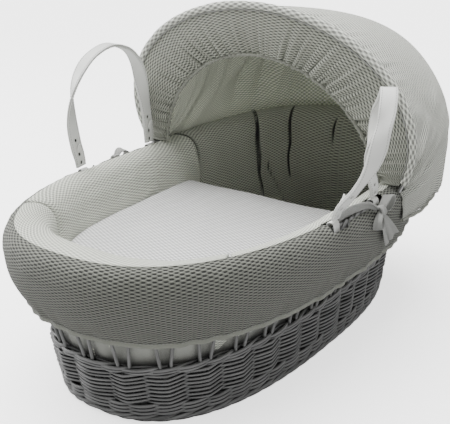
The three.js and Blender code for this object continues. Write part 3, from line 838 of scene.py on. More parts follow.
def pad_section(outer, inner, bottom, overhang):
    """Closed cross-sections (mm) of a padded wall section, and the count of its face points.

    The face rises from the bottom, rolls outwards over the rim and laps the skirt. "overhang" adds
    rows further out. The back follows the basket's wall down again.
    """
    low = np.linspace(bottom, 135.0, 6)
    rise = crest(outer) - RIM_HEIGHT
    lap = lip_reach(outer)
    lap_drop = np.interp(lap, *SKIRT_OVER.T)
    face = []
    for z in np.concatenate([low, [146, 158, 170, 183, 196, 206]]):
        turned = inner + (outer - inner) * smooth((z - 150) / 60)
        point = table_oval(WELL, turned, z, 0.6)
        point[:, 2] += rise * max(0, (z - 170) / 81)
        face.append(point)
    start, end = face[-1], rim(outer, lap_drop - LIP_LIFT, lap)
    for turn in np.linspace(0, math.pi / 2, 10)[1:]:
        roll = np.array([1 - math.cos(turn), 1 - math.cos(turn), math.sin(turn) ** 0.55])
        face.append(start + (end - start) * roll)
    for further in overhang:
        lap_drop = np.interp(lap + further, *SKIRT_OVER.T)
        face.append(rim(outer, lap_drop - LIP_LIFT, lap + further + 0.1 * further))
    lip = face[-1] + (rim(outer, 1.7, 0.4) - rim(outer, 0.0, 0.0))
    back = [rim(outer, 3.6, -8.6), rim(outer, 9.6, -13.4)]
    for drop, offset in ((18, -15.4), (42, -15.0)):
        back.append(wall_point_below(outer, drop, offset))
    for z, offset in ((196, -14.0), (170, -13.0)):
        back.append(wall(outer, float(z), offset))
    for z in low[::-1]:
        back.append(wall(outer, z, -13.0))
    return np.stack(face + [lip] + back, 1), len(face)


def wall_point_below(angle, drop, offset):
    """Points beside the wall at a drop below the crest."""
    z = crest(angle) - drop
    point = wall(angle, np.minimum(z, 240), offset)
    point[:, 2] = z
    return point


def build_bumper(name, node, outer_ends, inner_ends, bottom, count, pleats=0.0, creases=(),
                 overhang=(), seed=1):
    """A padded wall section: swollen between its seams, creased, its cloth lapping the rim.

    Creases: share along the pad, lean, depth (mm), and the heights that they run between (mm).
    """
    share = np.linspace(0, 1, count)
    outer = np.interp(share, (0, 1), np.radians(outer_ends))
    inner = np.interp(share, (0, 1), np.radians(inner_ends))
    even = even_share(outer)
    outer, inner = np.interp(even, share, outer), np.interp(even, share, inner)
    points, face_count = pad_section(outer, inner, bottom, overhang)
    along = lengths(points[:, UPRIGHT_ROWS - 1])
    row = np.arange(points.shape[1])
    down = row[None, :] * 10.0
    level = points[..., 2]
    free = np.clip((face_count - 1 - row) / 4, 0, 1)
    from_end = np.minimum(along, along[-1] - along)[:, None]
    dimple = waves(along[:, None], down, 8, 130, 45, seed) * 0.9
    pleat = pleats * np.abs(waves(along[:, None], down * 0.12, 5, 120, 45, seed + 3)) ** 1.4
    pleat = pleat * smooth((level - 150) / 60)
    for place, lean, depth, low, top in creases:
        away = along[:, None] - along[-1] * place - lean * (level - 200)
        fold = np.where(away < 0, -0.75, -0.3) * depth * np.exp(-np.abs(away) / 24)
        groove = 1.9 * depth * np.exp(-(away / (0.8 + 0.2 * depth)) ** 2)
        pleat = pleat + (fold + groove) * smooth((top - level) / 16) * smooth((level - low) / 16)
    pleat = np.minimum(pleat, 1.0 + 0.14 * np.clip(level - 150, 0, 90))
    toward = inward(points, (0, 20, 0))
    points = points + toward * ((dimple - pleat + 1.2) * free * smooth(from_end / 14))[..., None]
    tuck = (1 - smooth(from_end / 9)) * 3.0
    points = points - toward * (tuck * free)[..., None]
    sheets = Sheets().grid(points, pad_uv(outer, points, face_count), closed_v=True)
    for end in (0, -1):
        ring_end = points[end]
        half = len(ring_end) // 2
        sheets.grid(np.stack([ring_end[:half], ring_end[::-1][:half]], 1))
    piece = sheets.make(name, HEAD_WAFFLE if overhang else PAD_WAFFLE, None)
    fix_normals(piece)
    local = vertex_array(piece) / MM
    angle = np.arctan2(local[:, 0] / 227, -local[:, 1] / 398)
    below_crest = crest(np.clip(angle, -3.14, 3.14)) - local[:, 2]
    swell(piece, below_crest < 26, pressure=3.0, cap=4.0)
    subdivide(piece)
    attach(piece, "basket")
    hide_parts(node)


def even_share(angles):
    """Shares that make steps of equal length along the rim between the first and last angle."""
    fine = np.linspace(0, 1, 800)
    line = wall(np.interp(fine, (0, 1), (angles[0], angles[-1])), 200.0, -15.0)
    length = lengths(line)
    return np.interp(np.linspace(0, length[-1], len(angles)), length, fine)


def round_length(angle):
    """Distance (mm) round the rim at an angle, from the head: the cloth's u coordinate."""
    fine = np.linspace(-math.pi, math.pi * 2, 4001)
    return np.interp(angle, fine, lengths(wall(fine, 200.0, 0.0)))


def pad_uv(angle, points, face_count):
    """Waffle coordinates: u round the rim, v down from the crest, as on the outer dressing."""
    step = np.linalg.norm(np.diff(points, axis=1), axis=2).mean(0)
    down = np.concatenate([[0], np.cumsum(step)])
    down = down[face_count - 1] - down
    down = np.append(down, down[-1] - 10)
    u = round_length(angle)
    uu, vv = np.meshgrid(u, down, indexing="ij")
    return np.stack([uu, vv], -1) * MM


def mattress_outline(angle, z, inset):
    return oval(angle, 320, 154, 2.6, 17, -inset, z)


def build_mattress():
    """Cotton mattress with a piped seam round its top and bottom edges."""
    angle = uniform_angles(120)
    profile = [(8, 11.5), (2.5, 12.5), (0.5, 16), (0, 22), (-0.3, 30), (-0.4, 38), (-0.2, 46),
               (0, 51), (0.6, 55), (2.5, 59), (6.5, 61.2), (12, 61.8)]
    points = np.stack([mattress_outline(angle, z, inset + 0.8) for inset, z in profile], 1)
    along = np.arange(120)[:, None] / 120 * 1600
    points = points + grid_normals(points, True) * (0.35 * waves(
        along, np.arange(len(profile))[None, :] * 15.0, 6, 90, 30, 44))[..., None]
    sheets = Sheets().grid(points, closed_u=True, flip=True)
    quilted_lid(sheets, points[:, -1], 61.8)
    quilted_lid(sheets, points[:, 0], 11.5)
    fix_normals(sheets.make(
        "cotton_mattress", COTTON, "mattress_body", "mattress", slot="lining_cotton"))
    seams = Sheets()
    for z in (54.5, 18.5):
        seams.tube(mattress_outline(angle, z, -0.6), 1.5, 6, closed=True)
    seams.make("mattress_piping", BINDING, "mattress_body", slot="lining_cotton")


def quilted_lid(sheets, ring, z):
    """Closes a ring with shrinking rings that keep its height."""
    centre = ring.mean(0)
    shares = np.linspace(1, 0.02, 14)
    points = centre + (ring[:, None] - centre) * shares[None, :, None]
    points[..., 2] = z
    sheets.grid(points, closed_u=True)
    sheets.vertices.append(centre[None, :])
    size = len(ring)
    last = sheets.count - 1 - np.arange(size)[::-1] * 14
    k = np.arange(size)
    fan = np.stack([last[k], last[(k + 1) % size], np.full(size, sheets.count),
                    np.full(size, sheets.count)], -1)
    sheets.faces.append(fan)
    sheets.uvs.append(np.zeros((size, 4, 2)))
    sheets.count += 1


COVERLET_EDGE_Y = 100


def build_coverlet():
    """Thick quilt filling the well from the foot to a straight turned edge near the hood."""
    angle = even_angles(240)
    profile = [(30, 63.4), (8, 64), (4, 68), (3.2, 90), (3.0, 120), (2.9, 150), (2.8, 170),
               (2.6, 180), (2.8, 186), (3.8, 190.4), (6.2, 193), (10, 194.2), (16, 194.5)]
    rings = []
    for inset, z in profile:
        ring = table_oval(WELL, angle, min(z, 182.0), -inset)
        ring[:, 1] = np.minimum(ring[:, 1], COVERLET_EDGE_Y - 0.35 * inset)
        ring[:, 2] = z
        rings.append(ring)
    points = np.stack(rings, 1)
    sheets = Sheets().grid(points, closed_u=True)
    for ring in (points[:, -1], points[:, 0]):
        quilted_lid(sheets, ring, ring[0, 2])
    piece = sheets.make("waffle_coverlet", COVER_WAFFLE, None)
    fix_normals(piece)
    local = vertex_array(piece) / MM
    swell(piece, (local[:, 2] < 186) | (local[:, 1] > 70), pressure=2.0, cap=3.0)
    local = vertex_array(piece) / MM
    top = smooth((local[:, 2] - 188) / 6)
    local[:, 2] += top * 0.7 * waves(local[:, 0], local[:, 1], 8, 220, 70, 12)
    set_vertices(piece, local * MM)
    top_and_side_map(piece)
    subdivide(piece)
    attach(piece, "coverlet_body")
    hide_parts("coverlet")


def even_angles(count):
    """Even steps round the sleeping space at the coverlet's height, cut at its head edge."""
    fine = np.linspace(-math.pi, math.pi, 4001)
    ring = table_oval(WELL, fine, 182.0, -3.0)
    ring[:, 1] = np.minimum(ring[:, 1], COVERLET_EDGE_Y)
    length = lengths(ring)
    return np.interp(np.arange(count) / count * length[-1], length, fine)


def top_and_side_map(piece):
    """Cloth coordinates from above on top, and running down over the edges at the sides."""
    data = piece.data
    layer = data.uv_layers.get("cloth") or data.uv_layers.new(name="cloth")
    corner = np.empty(len(data.loops), np.int64)
    data.loops.foreach_get("vertex_index", corner)
    local = vertex_array(piece)
    uv = local[:, :2].copy()
    uv[:, 1] += (local[:, 2] - 0.194)
    layer.data.foreach_set("uv", uv[corner].astype(np.float32).ravel())


build_inner_lining()
build_skirt()
build_hem_band()
build_bumper("bumper_foot_pad", "bumper_foot", (-48.3, 48.3), (-33.6, 33.6), 21.0, 70, seed=3)
build_bumper("bumper_right_pad", "bumper_right", (48.9, 103.9), (34.2, 98.9), 66.0, 70, seed=4)
build_bumper("bumper_left_pad", "bumper_left", (-48.9, -103.9), (-34.2, -98.9), 66.0, 70, seed=5)
build_bumper("bumper_head_pad", "bumper_head", (104.5, 255.5), (99.5, 260.5), 66.0, 560,
             pleats=2.2, seed=6,
             overhang=(4.0, 7.5, 10.5, 13.0),
             creases=((0.77, 0.02, 9.0, 50, 300), (0.663, 0.066, 6.0, 145, 300),
                      (0.755, 0.43, 6.0, 50, 182), (0.525, 0.0, 4.5, 215, 282)))
build_mattress()
build_coverlet()


# ------------------------------------------------------------------ hood
def arch(turn, half_width, half_height, start, forward, middle_up=HOOD_MIDDLE_UP):
    """Points on an arch in the hood's front plane, from one pivot over to the other."""
    angle = np.radians(-start + (180 + 2 * start) * np.asarray(turn, float))
    up = middle_up + half_height * np.sin(angle)
    forward = np.asarray(forward, float)
    x = -half_width * np.cos(angle)
    y = HOOD_PLANE_Y - up * math.sin(HOOD_LEAN) - forward * math.cos(HOOD_LEAN)
    z = HOOD_PLANE_Z + up * math.cos(HOOD_LEAN) - forward * math.sin(HOOD_LEAN)
    return np.stack(np.broadcast_arrays(x, y, z), -1)


def opening(turn, inset, forward):
    """Points on the hood's opening, inside the band."""
    return arch(turn, 215 - inset, 223 - inset, -9.5, forward, -39)


def hem_line(turn, grow):
    """Points on the hood's elasticated hem, dipping near the pivots."""
    angle = math.pi * np.asarray(turn, float)
    power = 2 / 2.7
    back = np.sin(angle)
    x = -(253 + grow) * signed_power(np.cos(angle), power)
    y = 94 + (470 + grow - 94) * signed_power(back, power)
    corner = np.minimum(turn, 1 - np.asarray(turn, float))
    dip = 9 * np.exp(-((corner - 0.04) / 0.035) ** 2)
    z = 211 + 2 * back - 5 * np.sin(2 * angle) ** 2 - dip
    return np.stack([x, y, z], -1)


def tucked(points, turn):
    """Draws the hood in under itself just above its elasticated hem, most at the back."""
    low = np.clip(1 - (points[..., 2] - 211) / 78, 0, 1)
    draw = (3 + 24 * np.sin(math.pi * turn) ** 4) * low ** 2
    return points + inward(points, (0, 215, 0)) * draw[..., None]


def shell(turn, share, inset):
    """Points on the hood's cloth, from the ridge at share 0 to the hem at share 1."""
    front = arch(turn, RIDGE_HALF_WIDTH - 6 - inset, RIDGE_HALF_HEIGHT - 6 - inset, 16, -3)
    hem = hem_line(turn, -inset)
    quarter = np.asarray(share, float) * math.pi / 2
    x = front[..., 0] + (hem[..., 0] - front[..., 0]) * share
    y = front[..., 1] + (hem[..., 1] - front[..., 1]) * np.sin(quarter) ** (2 / 1.76)
    z = hem[..., 2] + (front[..., 2] - hem[..., 2]) * np.cos(quarter) ** (2 / 4.1)
    return tucked(np.stack([x, y, z], -1), turn)


def hood_weights(piece, points, share):
    """Finds each point's share, 1 at the basket end and 0 at the hood end, but nothing uses it;
    only bakes the piece's placement into its mesh.
    """
    kept = share.ravel()
    if len(piece.data.vertices) != share.size:
        known = {tuple(np.round(p, 3)): s for p, s in zip(points.reshape(-1, 3), kept)}
        kept = np.array([known.get(tuple(np.round(p, 3)), 0.5) for p in vertex_array(piece) / MM])
    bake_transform(piece)


def hood_normals(points):
    """Normals of a hood surface, facing out of the hood."""
    normal = grid_normals(points)
    return normal * np.sign((normal * (points - HOOD_MIDDLE)).sum(-1, keepdims=True))


def build_hood_shell():
    """Outer shell: gathered at its hem and its ridge, with soft folds at the sides."""
    turn, share = np.meshgrid(
        np.linspace(0, 1, 330), np.linspace(0, 1, 84) ** 0.9, indexing="ij")
    points = shell(turn, share, 0.0)
    along = turn * 1000
    near_hem = np.clip((share - 0.86) / 0.14, 0, 1)
    near_front = np.clip(1 - share / 0.22, 0, 1)
    gathers = 2.6 * near_hem ** 1.2 * waves(along, share * 60, 9, 34, 15, 21)
    puckers = 1.5 * near_front * waves(along, share * 40, 9, 30, 13, 22)
    side = np.clip((np.abs(turn - 0.5) - 0.28) / 0.2, 0, 1)
    folds = 3.6 * side * waves(along * 0.8, share * 420, 6, 130, 50, 23)
    billow = 2.6 * waves(along, share * 420, 5, 420, 180, 24)
    ends = smooth(share / 0.06)
    lift = (gathers + puckers * smooth(share / 0.03) + (folds + billow) * ends * (1 - near_hem))
    points = points + hood_normals(points) * lift[..., None]
    piece = Sheets().grid(points).make(
        "waffle_hood_shell", HOOD_WAFFLE, None, "hood_shell", slot="waffle_fabric")
    hood_weights(piece, points, share)
    thicken(piece, 1.4)


def met_by_head_pad(points, pull):
    """Draws the lining's lower edge in until it lies on the head pad's lip over the rim."""
    angles = np.radians(np.linspace(96, 264, 700))
    over = 17.0
    lip = rim(angles, np.interp(over, *SKIRT_OVER.T) - 5.0, over)
    nearest = [np.argmin(((lip[:, :2] - end[:2]) ** 2).sum(-1)) for end in points[:, -1]]
    return points + (lip[nearest][:, None] - points) * pull[..., None]


def build_hood_lining():
    """Ceiling under the shell, hanging in slanting folds."""
    turn, share = np.meshgrid(
        np.linspace(0.004, 0.996, 200), 0.02 + 0.973 * np.linspace(0, 1, 60) ** 0.8,
        indexing="ij")
    points = shell(turn, share, 6.5)
    slant = turn * 900 + share * 520
    drape = np.abs(waves(slant, share * 40, 4, 260, 130, 33)) ** 1.3
    crease = 3.2 * waves(slant * 1.4, share * 160, 7, 80, 30, 34)
    middle = np.sin(np.clip(share, 0, 1) * math.pi)
    sag = np.clip(20.0 * drape, 0, 32) * middle + crease * middle
    points = points - hood_normals(points) * sag[..., None]
    points = met_by_head_pad(points, smooth((share - 0.72) / 0.27))
    piece = Sheets().grid(points).make(
        "hood_ceiling_lining", LINING, None, "hood_lining", slot="plain_fabric")
    hood_weights(piece, points, share)
    thicken(piece, 0.8, 0.0)


def build_hood_band():
    """Gathered band between the ridge and the opening: fine radial pleats, softly crowned."""
    turn, share = np.meshgrid(np.linspace(0, 1, 520), np.linspace(0, 1, 22), indexing="ij")
    outer = arch(turn, RIDGE_HALF_WIDTH - 5.5, RIDGE_HALF_HEIGHT - 5.5, 21, 1.0)
    inner = opening(turn, 0.0, 1.0)
    points = outer + (inner - outer) * share[..., None]
    fan = turn * 1080 + 14 * np.sin(turn * 19)
    pleat = waves(fan, share * 4, 10, 22, 8, 41)
    strength = 0.5 + 2.1 * smooth((share - 0.2) / 0.8)
    crown = 4.5 * np.sin(share * math.pi) ** 0.8
    forward = crown + 1.3 * strength * pleat
    points = points + np.stack(np.broadcast_arrays(
        0.0, -forward * math.cos(HOOD_LEAN), -forward * math.sin(HOOD_LEAN)), -1)
    piece = Sheets().grid(points).make(
        "waffle_hood_band", BAND_WAFFLE, "hood", "hood_front_band", slot="waffle_fabric")
    thicken(piece, 1.4)


def build_opening_elastic():
    """Gathered elastic in the inner edge of the band."""
    ruffle = Sheets()
    t = np.linspace(0, 1, 620)
    wobble = waves(t * 900, 0, 8, 16, 8, 42)
    path = opening(t, 3.2 + 0.8 * wobble, 1.6)
    ruffle.tube(path, 2.7 + 0.5 * waves(t * 900, 0, 8, 12, 7, 43), 8, across=(0, 1, 0.2))
    ruffle.make("hood_opening_elastic", BINDING, "hood", "hood_edge_elastic",
                slot="plain_fabric")


def build_piping():
    """Corded ridge of the hood's mouth, with a seam on each side of the cord."""
    t = np.linspace(0, 1, 700)
    ruch = waves(t * 1100, 0, 8, 30, 9, 51)
    sheets = Sheets()
    path = arch(t, RIDGE_HALF_WIDTH, RIDGE_HALF_HEIGHT, 19, 0)
    sheets.tube(path, 6.3 + 0.35 * ruch, 14, across=(0, 1, 0.17))
    sheets.make("waffle_hood_piping", HOOD_WAFFLE, "hood", "hood_piping", slot="waffle_fabric")
    seam = Sheets()
    for inset, forward in ((6.6, 4.4), (6.8, -3.0)):
        line = arch(t, RIDGE_HALF_WIDTH - inset, RIDGE_HALF_HEIGHT - inset, 17, forward)
        seam.tube(line, 0.7, 5, across=(0, 1, 0.17))
    seam.make("hood_piping_seam", THREAD, "hood", slot="waffle_fabric")


def build_hem_elastic():
    """Gathered roll that holds the hood's hem to the basket."""
    t = np.linspace(0, 1, 620)
    path = tucked(hem_line(t, -1.0 + 0.9 * waves(t * 1000, 0, 9, 30, 14, 21)), t)
    path[:, 2] -= 2.5 - 0.5 * waves(t * 1000, 0, 8, 40, 15, 61)
    sheets = Sheets()
    sheets.tube(path, 3.0 + 0.5 * waves(t * 1000, 0, 8, 20, 8, 62), 9)
    sheets.make("hood_hem_roll", BINDING, "basket", "hood_hem_elastic", slot="plain_fabric")


build_hood_shell()
build_hood_lining()
build_hood_band()
build_opening_elastic()
build_piping()
build_hem_elastic()


# ------------------------------------------------------------------ handles
# Strap lines up from the hinge. Columns: height, then Y and X offsets of the foot and head legs.
LEFT_LEVELS = np.array([
    [1.6, -116, 60, 0, 0], [16, -118, 60, 0.5, 0.4], [40, -124, 59, 1.4, 1.2],
    [80, -129, 54, 2.4, 2.2], [120, -124, 46, 3.2, 3], [150, -108, 36, 3.8, 3.6],
    [172, -84, 18, 4.2, 4.1], [184, -56, -8, 4.3, 4.3]], float)
# Top of the strap: Y, height, X offset (mm).
LEFT_TOP = (-32, 188, 4.3)
RIGHT_LEVELS = np.array([
    [1.6, -98, 22, 0, 0], [16, -97, 20, 5, 1], [40, -88, 12, 21, -2], [75, -80, 3, 40, -4],
    [110, -76, -1, 50, 4], [148, -67, -10, 54, 20], [172, -52, -25, 49, 34]], float)
RIGHT_TOP = (-38, 181, 42)
STRAP_WIDTH, STRAP_LENGTH, STRAP_STEPS = 24.0, 570.0, 260
SLOT_SIZE = (2.4, 4.0)
SLOT_SHARES = (0.014, 0.045, 0.098, 1 - 0.014, 1 - 0.045, 1 - 0.098)


def catmull(points, count):
    """Even steps along a centripetal Catmull-Rom curve through the points."""
    points = np.asarray(points, float)
    ends = np.vstack([2 * points[0] - points[1], points, 2 * points[-1] - points[-2]])
    pieces = []
    for k in range(len(points) - 1):
        p = ends[k:k + 4]
        t = np.append(0, np.cumsum(np.linalg.norm(np.diff(p, axis=0), axis=1) ** 0.5))
        s = np.linspace(t[1], t[2], 24, endpoint=False)[:, None]
        a = [(t[i + 1] - s) / (t[i + 1] - t[i]) * p[i] + (s - t[i]) / (t[i + 1] - t[i]) * p[i + 1]
             for i in range(3)]
        b = [(t[i + 2] - s) / (t[i + 2] - t[i]) * a[i] + (s - t[i]) / (t[i + 2] - t[i]) * a[i + 1]
             for i in range(2)]
        pieces.append((t[2] - s) / (t[2] - t[1]) * b[0] + (s - t[1]) / (t[2] - t[1]) * b[1])
    curve = np.vstack(pieces + [points[-1:]])
    length = lengths(curve)
    return read_line(curve, length, np.linspace(0, length[-1], count))


class Strap:
    """A handle's middle line with its facing direction at every step."""

    def __init__(self, levels, top, side):
        foot = np.stack([HINGE_X + levels[:, 3], levels[:, 1], HINGE_Z + levels[:, 0]], -1)
        head = np.stack([HINGE_X + levels[:, 4], levels[:, 2], HINGE_Z + levels[:, 0]], -1)
        peak = np.array([[HINGE_X + top[2], top[0], HINGE_Z + top[1]]])
        self.points = catmull(np.vstack([foot, peak, head[::-1]]), STRAP_STEPS)
        self.share = np.linspace(0, 1, STRAP_STEPS)
        tangent = unit(np.gradient(self.points, axis=0))
        from_end = np.minimum(self.share, 1 - self.share)
        twist = (math.pi / 2 * smooth((from_end - 0.12) / 0.26))[:, None]

        def square(direction):
            return unit(direction - tangent * (direction * tangent).sum(1, keepdims=True))

        outward = square(np.tile([1.0, 0, 0], (STRAP_STEPS, 1)))
        away = square(np.where(self.share[:, None] < 0.5, [[0, -1.0, 0]], [[0, 1.0, 0]]))
        up = square(np.tile([0, 0, 1.0], (STRAP_STEPS, 1)) + 1e-6)
        over = smooth((0.2 - np.abs(self.share - 0.5)) / 0.12)[:, None]
        rise = unit(away * (1 - over) + up * over)
        self.face = square(outward * np.cos(twist) + rise * np.sin(twist))
        self.width = np.cross(tangent, self.face)
        self.flip = np.array([side, 1, 1])
        self.side = side

    def at(self, share, across, depth):
        """Points at shares along the strap, across its width and out of its face (mm)."""
        share, across, depth = np.broadcast_arrays(*(
            np.asarray(value, float) for value in (share, across, depth)))
        middle, width, face = (
            read_line(table, self.share, share) for table in (self.points, self.width, self.face))
        return (middle + width * across[..., None] + face * depth[..., None]) * self.flip

    def layer(self, near, far, width):
        """A closed strap layer with rounded edges, between two depths (mm)."""
        share = np.linspace(0, 1, 241)
        half = width / 2
        middle, thick = (near + far) / 2, abs(far - near) / 2
        flat = np.array([-half + 1, -half * 0.5, 0, half * 0.5, half - 1])
        edge = np.array([half - 0.25, half, half - 0.25])
        across = np.concatenate([flat, edge, flat[::-1], -edge])
        side = np.array([-1] * 5 + [-0.5, 0, 0.5] + [1] * 5 + [0.5, 0, -0.5])
        taper = 1 - 0.12 * smooth((np.abs(share - 0.5) - 0.44) / 0.06)
        return self.at(share[:, None], across[None, :] * taper[:, None], middle + side * thick)


def strap_piece(strap, near, far, width, name, node, body):
    """One leatherette layer of a handle."""
    grid = strap.layer(near, far, width)
    along = np.linspace(0, 0.57, grid.shape[0])
    uu, vv = np.meshgrid(along, np.arange(grid.shape[1] + 1) / grid.shape[1] * 0.05, indexing="ij")
    sheets = Sheets().grid(grid, np.stack([uu, vv], -1), closed_v=True, flip=strap.side > 0)
    sheets.cap(grid[0], strap.side < 0)
    sheets.cap(grid[-1], strap.side > 0)
    piece = sheets.make(name, LEATHER, body, node, slot="leatherette")
    fix_normals(piece)
    return piece


def cut_slots(piece, cutter):
    """Punches the cutter's prisms out of a strap layer, and applies the cut."""
    modifier = piece.modifiers.new("slots", "BOOLEAN")
    modifier.object = cutter
    modifier.operation = "DIFFERENCE"
    modifier.solver = "EXACT"
    graph = bpy.context.evaluated_depsgraph_get()
    mesh = bpy.data.meshes.new_from_object(piece.evaluated_get(graph))
    piece.modifiers.clear()
    mesh.materials.clear()
    mesh.materials.append(LEATHER)
    piece.data = mesh


def slot_ovals(strap, grow, depth):
    """Short oval prisms across the strap's slots, grown by a margin, to a depth each way (mm)."""
    sheets = Sheets()
    angle = np.arange(14) / 14 * 2 * math.pi
    for share in SLOT_SHARES:
        along = share + (SLOT_SIZE[1] + grow) / STRAP_LENGTH * np.sin(angle)
        across = (SLOT_SIZE[0] + grow) * np.cos(angle)
        rings = np.stack([strap.at(along, across, side * depth) for side in (-1, 1)])
        sheets.grid(rings, closed_v=True, uv=np.zeros((2, 15, 2)))
        sheets.cap(rings[0], True)
        sheets.cap(rings[1], False)
    return sheets


def stitch_line(sheets, strap, across, depth):
    """A row of stitches along the strap, each arched out of its face."""
    for share in np.linspace(0.015, 0.985, 104):
        steps = share + np.array([-0.0030, -0.0015, 0.0015, 0.0030])
        lift = depth + np.sign(depth) * np.array([-0.3, 0.25, 0.25, -0.3])
        sheets.tube(strap.at(steps, across, lift), 0.42, 5, across=(1, 0.1, 0.2))


def build_tongue(strap, end, name, node, body):
    """Narrow strap end: folds up from the loop, threads the slots, its tip stands proud."""
    sheets = Sheets()
    sign = 1 if end == 0 else -1
    steps = np.array([0.055, 0.058, 0.061, 0.065, 0.069, 0.073, 0.077, 0.081, 0.084, 0.087])
    depth = -np.array([3.4, 4.0, 4.5, 4.9, 5.3, 5.8, 6.6, 7.6, 8.6, 9.6])
    share = end + sign * steps
    half = np.array([3.4, 4.4, 4.8, 4.9, 4.8, 4.5, 4.0, 3.4, 2.9, 2.4])
    profile = np.array([[-1, -0.6], [-0.6, -1], [0, -1.05], [0.6, -1], [1, -0.6], [1, 0.6],
                        [0.6, 1], [0, 1.05], [-0.6, 1], [-1, 0.6]])
    grid = strap.at(share[:, None], half[:, None] * profile[None, :, 0],
                    depth[:, None] + 1.35 * profile[None, :, 1])
    sheets.grid(grid, closed_v=True)
    sheets.cap(grid[0], True)
    sheets.cap(grid[-1], False)
    piece = sheets.make(name, LEATHER, body, node, slot="leatherette")
    fix_normals(piece)
    subdivide(piece)


# The rim loop's line seen from the foot. Columns: outwards, up (mm).
LOOP_LINE = np.array([
    [11.6, 0], [10.6, 6], [9.4, 13], [8.2, 19], [4.5, 20.6], [0.5, 19], [-1.5, 14.5], [-4.5, 10.9],
    [-8.4, 8], [-10.9, 4], [-11.6, 0], [-9.4, -6.8], [-4, -11], [4, -11], [9.4, -6.8]], float)


def build_rim_loop(side, y, name, node):
    """Leather loop round the rim border, with an ear that carries the strap."""
    line = closed_curve(LOOP_LINE, 60)
    angle = math.acos(-math.copysign(abs(y / 398) ** 1.25, y))
    middle = wall(angle, 240.0, 0.0)[0]
    height = RIM_HEIGHT + RIM_RISE * max(0.0, y / RIM_HALF_LENGTH) ** 2 - 20
    step = np.roll(line, -1, 0) - np.roll(line, 1, 0)
    normal = unit(np.stack([step[:, 1], -step[:, 0]], -1))
    profile = np.array([[-7.4, 0.1], [-3, 0.1], [3, 0.1], [7.4, 0.1], [8, 0.5], [8, 1.4],
                        [7.4, 1.9], [3, 1.95], [-3, 1.95], [-7.4, 1.9], [-8, 1.4], [-8, 0.5]])
    grid = np.empty((len(line), len(profile), 3))
    grid[..., 0] = side * (middle + line[:, None, 0] + normal[:, None, 0] * profile[None, :, 1])
    grid[..., 1] = y + profile[None, :, 0]
    grid[..., 2] = height + line[:, None, 1] + normal[:, None, 1] * profile[None, :, 1]
    uv = np.stack(np.meshgrid(np.linspace(0, 0.1, len(line) + 1),
                              np.linspace(0, 0.03, len(profile) + 1), indexing="ij"), -1)
    sheets = Sheets().grid(grid, uv, closed_u=True, closed_v=True)
    fix_normals(sheets.make(name, LEATHER, "basket", node, slot="leatherette"))


def closed_curve(points, count):
    """Even steps round a smooth closed curve through the points."""
    parts = []
    t = np.linspace(0, 1, 24, endpoint=False)[:, None]
    for k in range(len(points)):
        a, b, c, d = (points[(k + n - 1) % len(points)] for n in range(4))
        parts.append(0.5 * (2 * b + (c - a) * t + (2 * a - 5 * b + 4 * c - d) * t ** 2
                            + (3 * b - a - 3 * c + d) * t ** 3))
    full = np.vstack(parts + [points[:1]])
    total = lengths(full)
    return read_line(full, total, np.arange(count) / count * total[-1])


def build_handle(side_name, levels, top, side):
    """One carrying handle: strap and backing with their slots, stitches, tongues and rim loops."""
    strap = Strap(levels, top, side)
    body = f"{side_name}_handle"
    outer = strap_piece(strap, 0.2, 2.3, STRAP_WIDTH, f"{body}_strap",
                        f"handle_{side_name}_strap", body)
    inner = strap_piece(strap, -0.2, -2.3, STRAP_WIDTH - 1, f"{body}_backing",
                        f"handle_{side_name}_backing", body)
    slot_ovals(strap, 0.8, 0.12).make(
        f"{body}_slot_shadows", SLOT_DARK, body, slot="leatherette")
    cutter = slot_ovals(strap, 0.0, 6.0).make("slot_cutter", LEATHER, None)
    fix_normals(cutter)
    cut_slots(outer, cutter)
    cut_slots(inner, cutter)
    bpy.data.objects.remove(cutter)
    stitches = Sheets()
    for across in (-STRAP_WIDTH / 2 + 2.4, STRAP_WIDTH / 2 - 2.4):
        for depth in (2.3, -2.3):
            stitch_line(stitches, strap, across, depth)
    stitches.make(f"{body}_stitching", WHITE_THREAD, body, slot="leatherette")
    for end, place in enumerate(("foot", "head")):
        build_tongue(strap, end, f"{side_name}_tongue_{place}",
                     f"handle_{side_name}_tongue_{place}", body)
    for end, place in enumerate(("foot", "head")):
        build_rim_loop(side, levels[0, 1 + end], f"{side_name}_rim_loop_{place}",
                       f"rim_loop_{side_name}_{place}")


build_handle("left", LEFT_LEVELS, LEFT_TOP, -1)
build_handle("right", RIGHT_LEVELS, RIGHT_TOP, 1)


# ------------------------------------------------------------------ ties
def ribbon(sheets, path, width_direction, width, folds, seed, thickness=1.5):
    """A soft strip of cloth with lengthwise folds, as a closed thin solid."""
    path = catmull(path, 48)
    step = np.linspace(0, 1, 48)
    facing = read_line(width_direction, np.linspace(0, 1, len(width_direction)), step)
    width = np.interp(step, np.linspace(0, 1, len(width)), width)
    tangent = unit(np.gradient(path, axis=0))
    across = unit(facing - tangent * (facing * tangent).sum(1, keepdims=True))
    normal = np.cross(tangent, across)
    edge = np.linspace(-1, 1, 13)
    phase = np.random.default_rng(seed).uniform(0, 6)
    fold = folds * np.sin(edge * 4.2 + phase)[None, :] * (
        0.6 + 0.4 * np.sin(np.linspace(0, 5, 48) + phase))[:, None]
    top = path[:, None] + across[:, None] * (edge[None, :, None] * width[:, None, None] / 2)
    top = top + normal[:, None] * (fold + thickness / 2)[..., None]
    low = top - normal[:, None] * thickness
    ring = np.concatenate([top, low[:, ::-1]], 1)
    uv = np.stack(np.meshgrid(
        np.linspace(0, 0.12, 48), np.linspace(0, 0.04, ring.shape[1] + 1), indexing="ij"), -1)
    sheets.grid(ring, uv, closed_v=True)
    for end in (0, -1):
        sheets.grid(np.stack([top[end], low[end]], 1))


def make_tie(sheets, name, *nodes):
    piece = sheets.make(name, SASH, "basket", *nodes, slot="plain_fabric")
    fix_normals(piece)
    subdivide(piece)


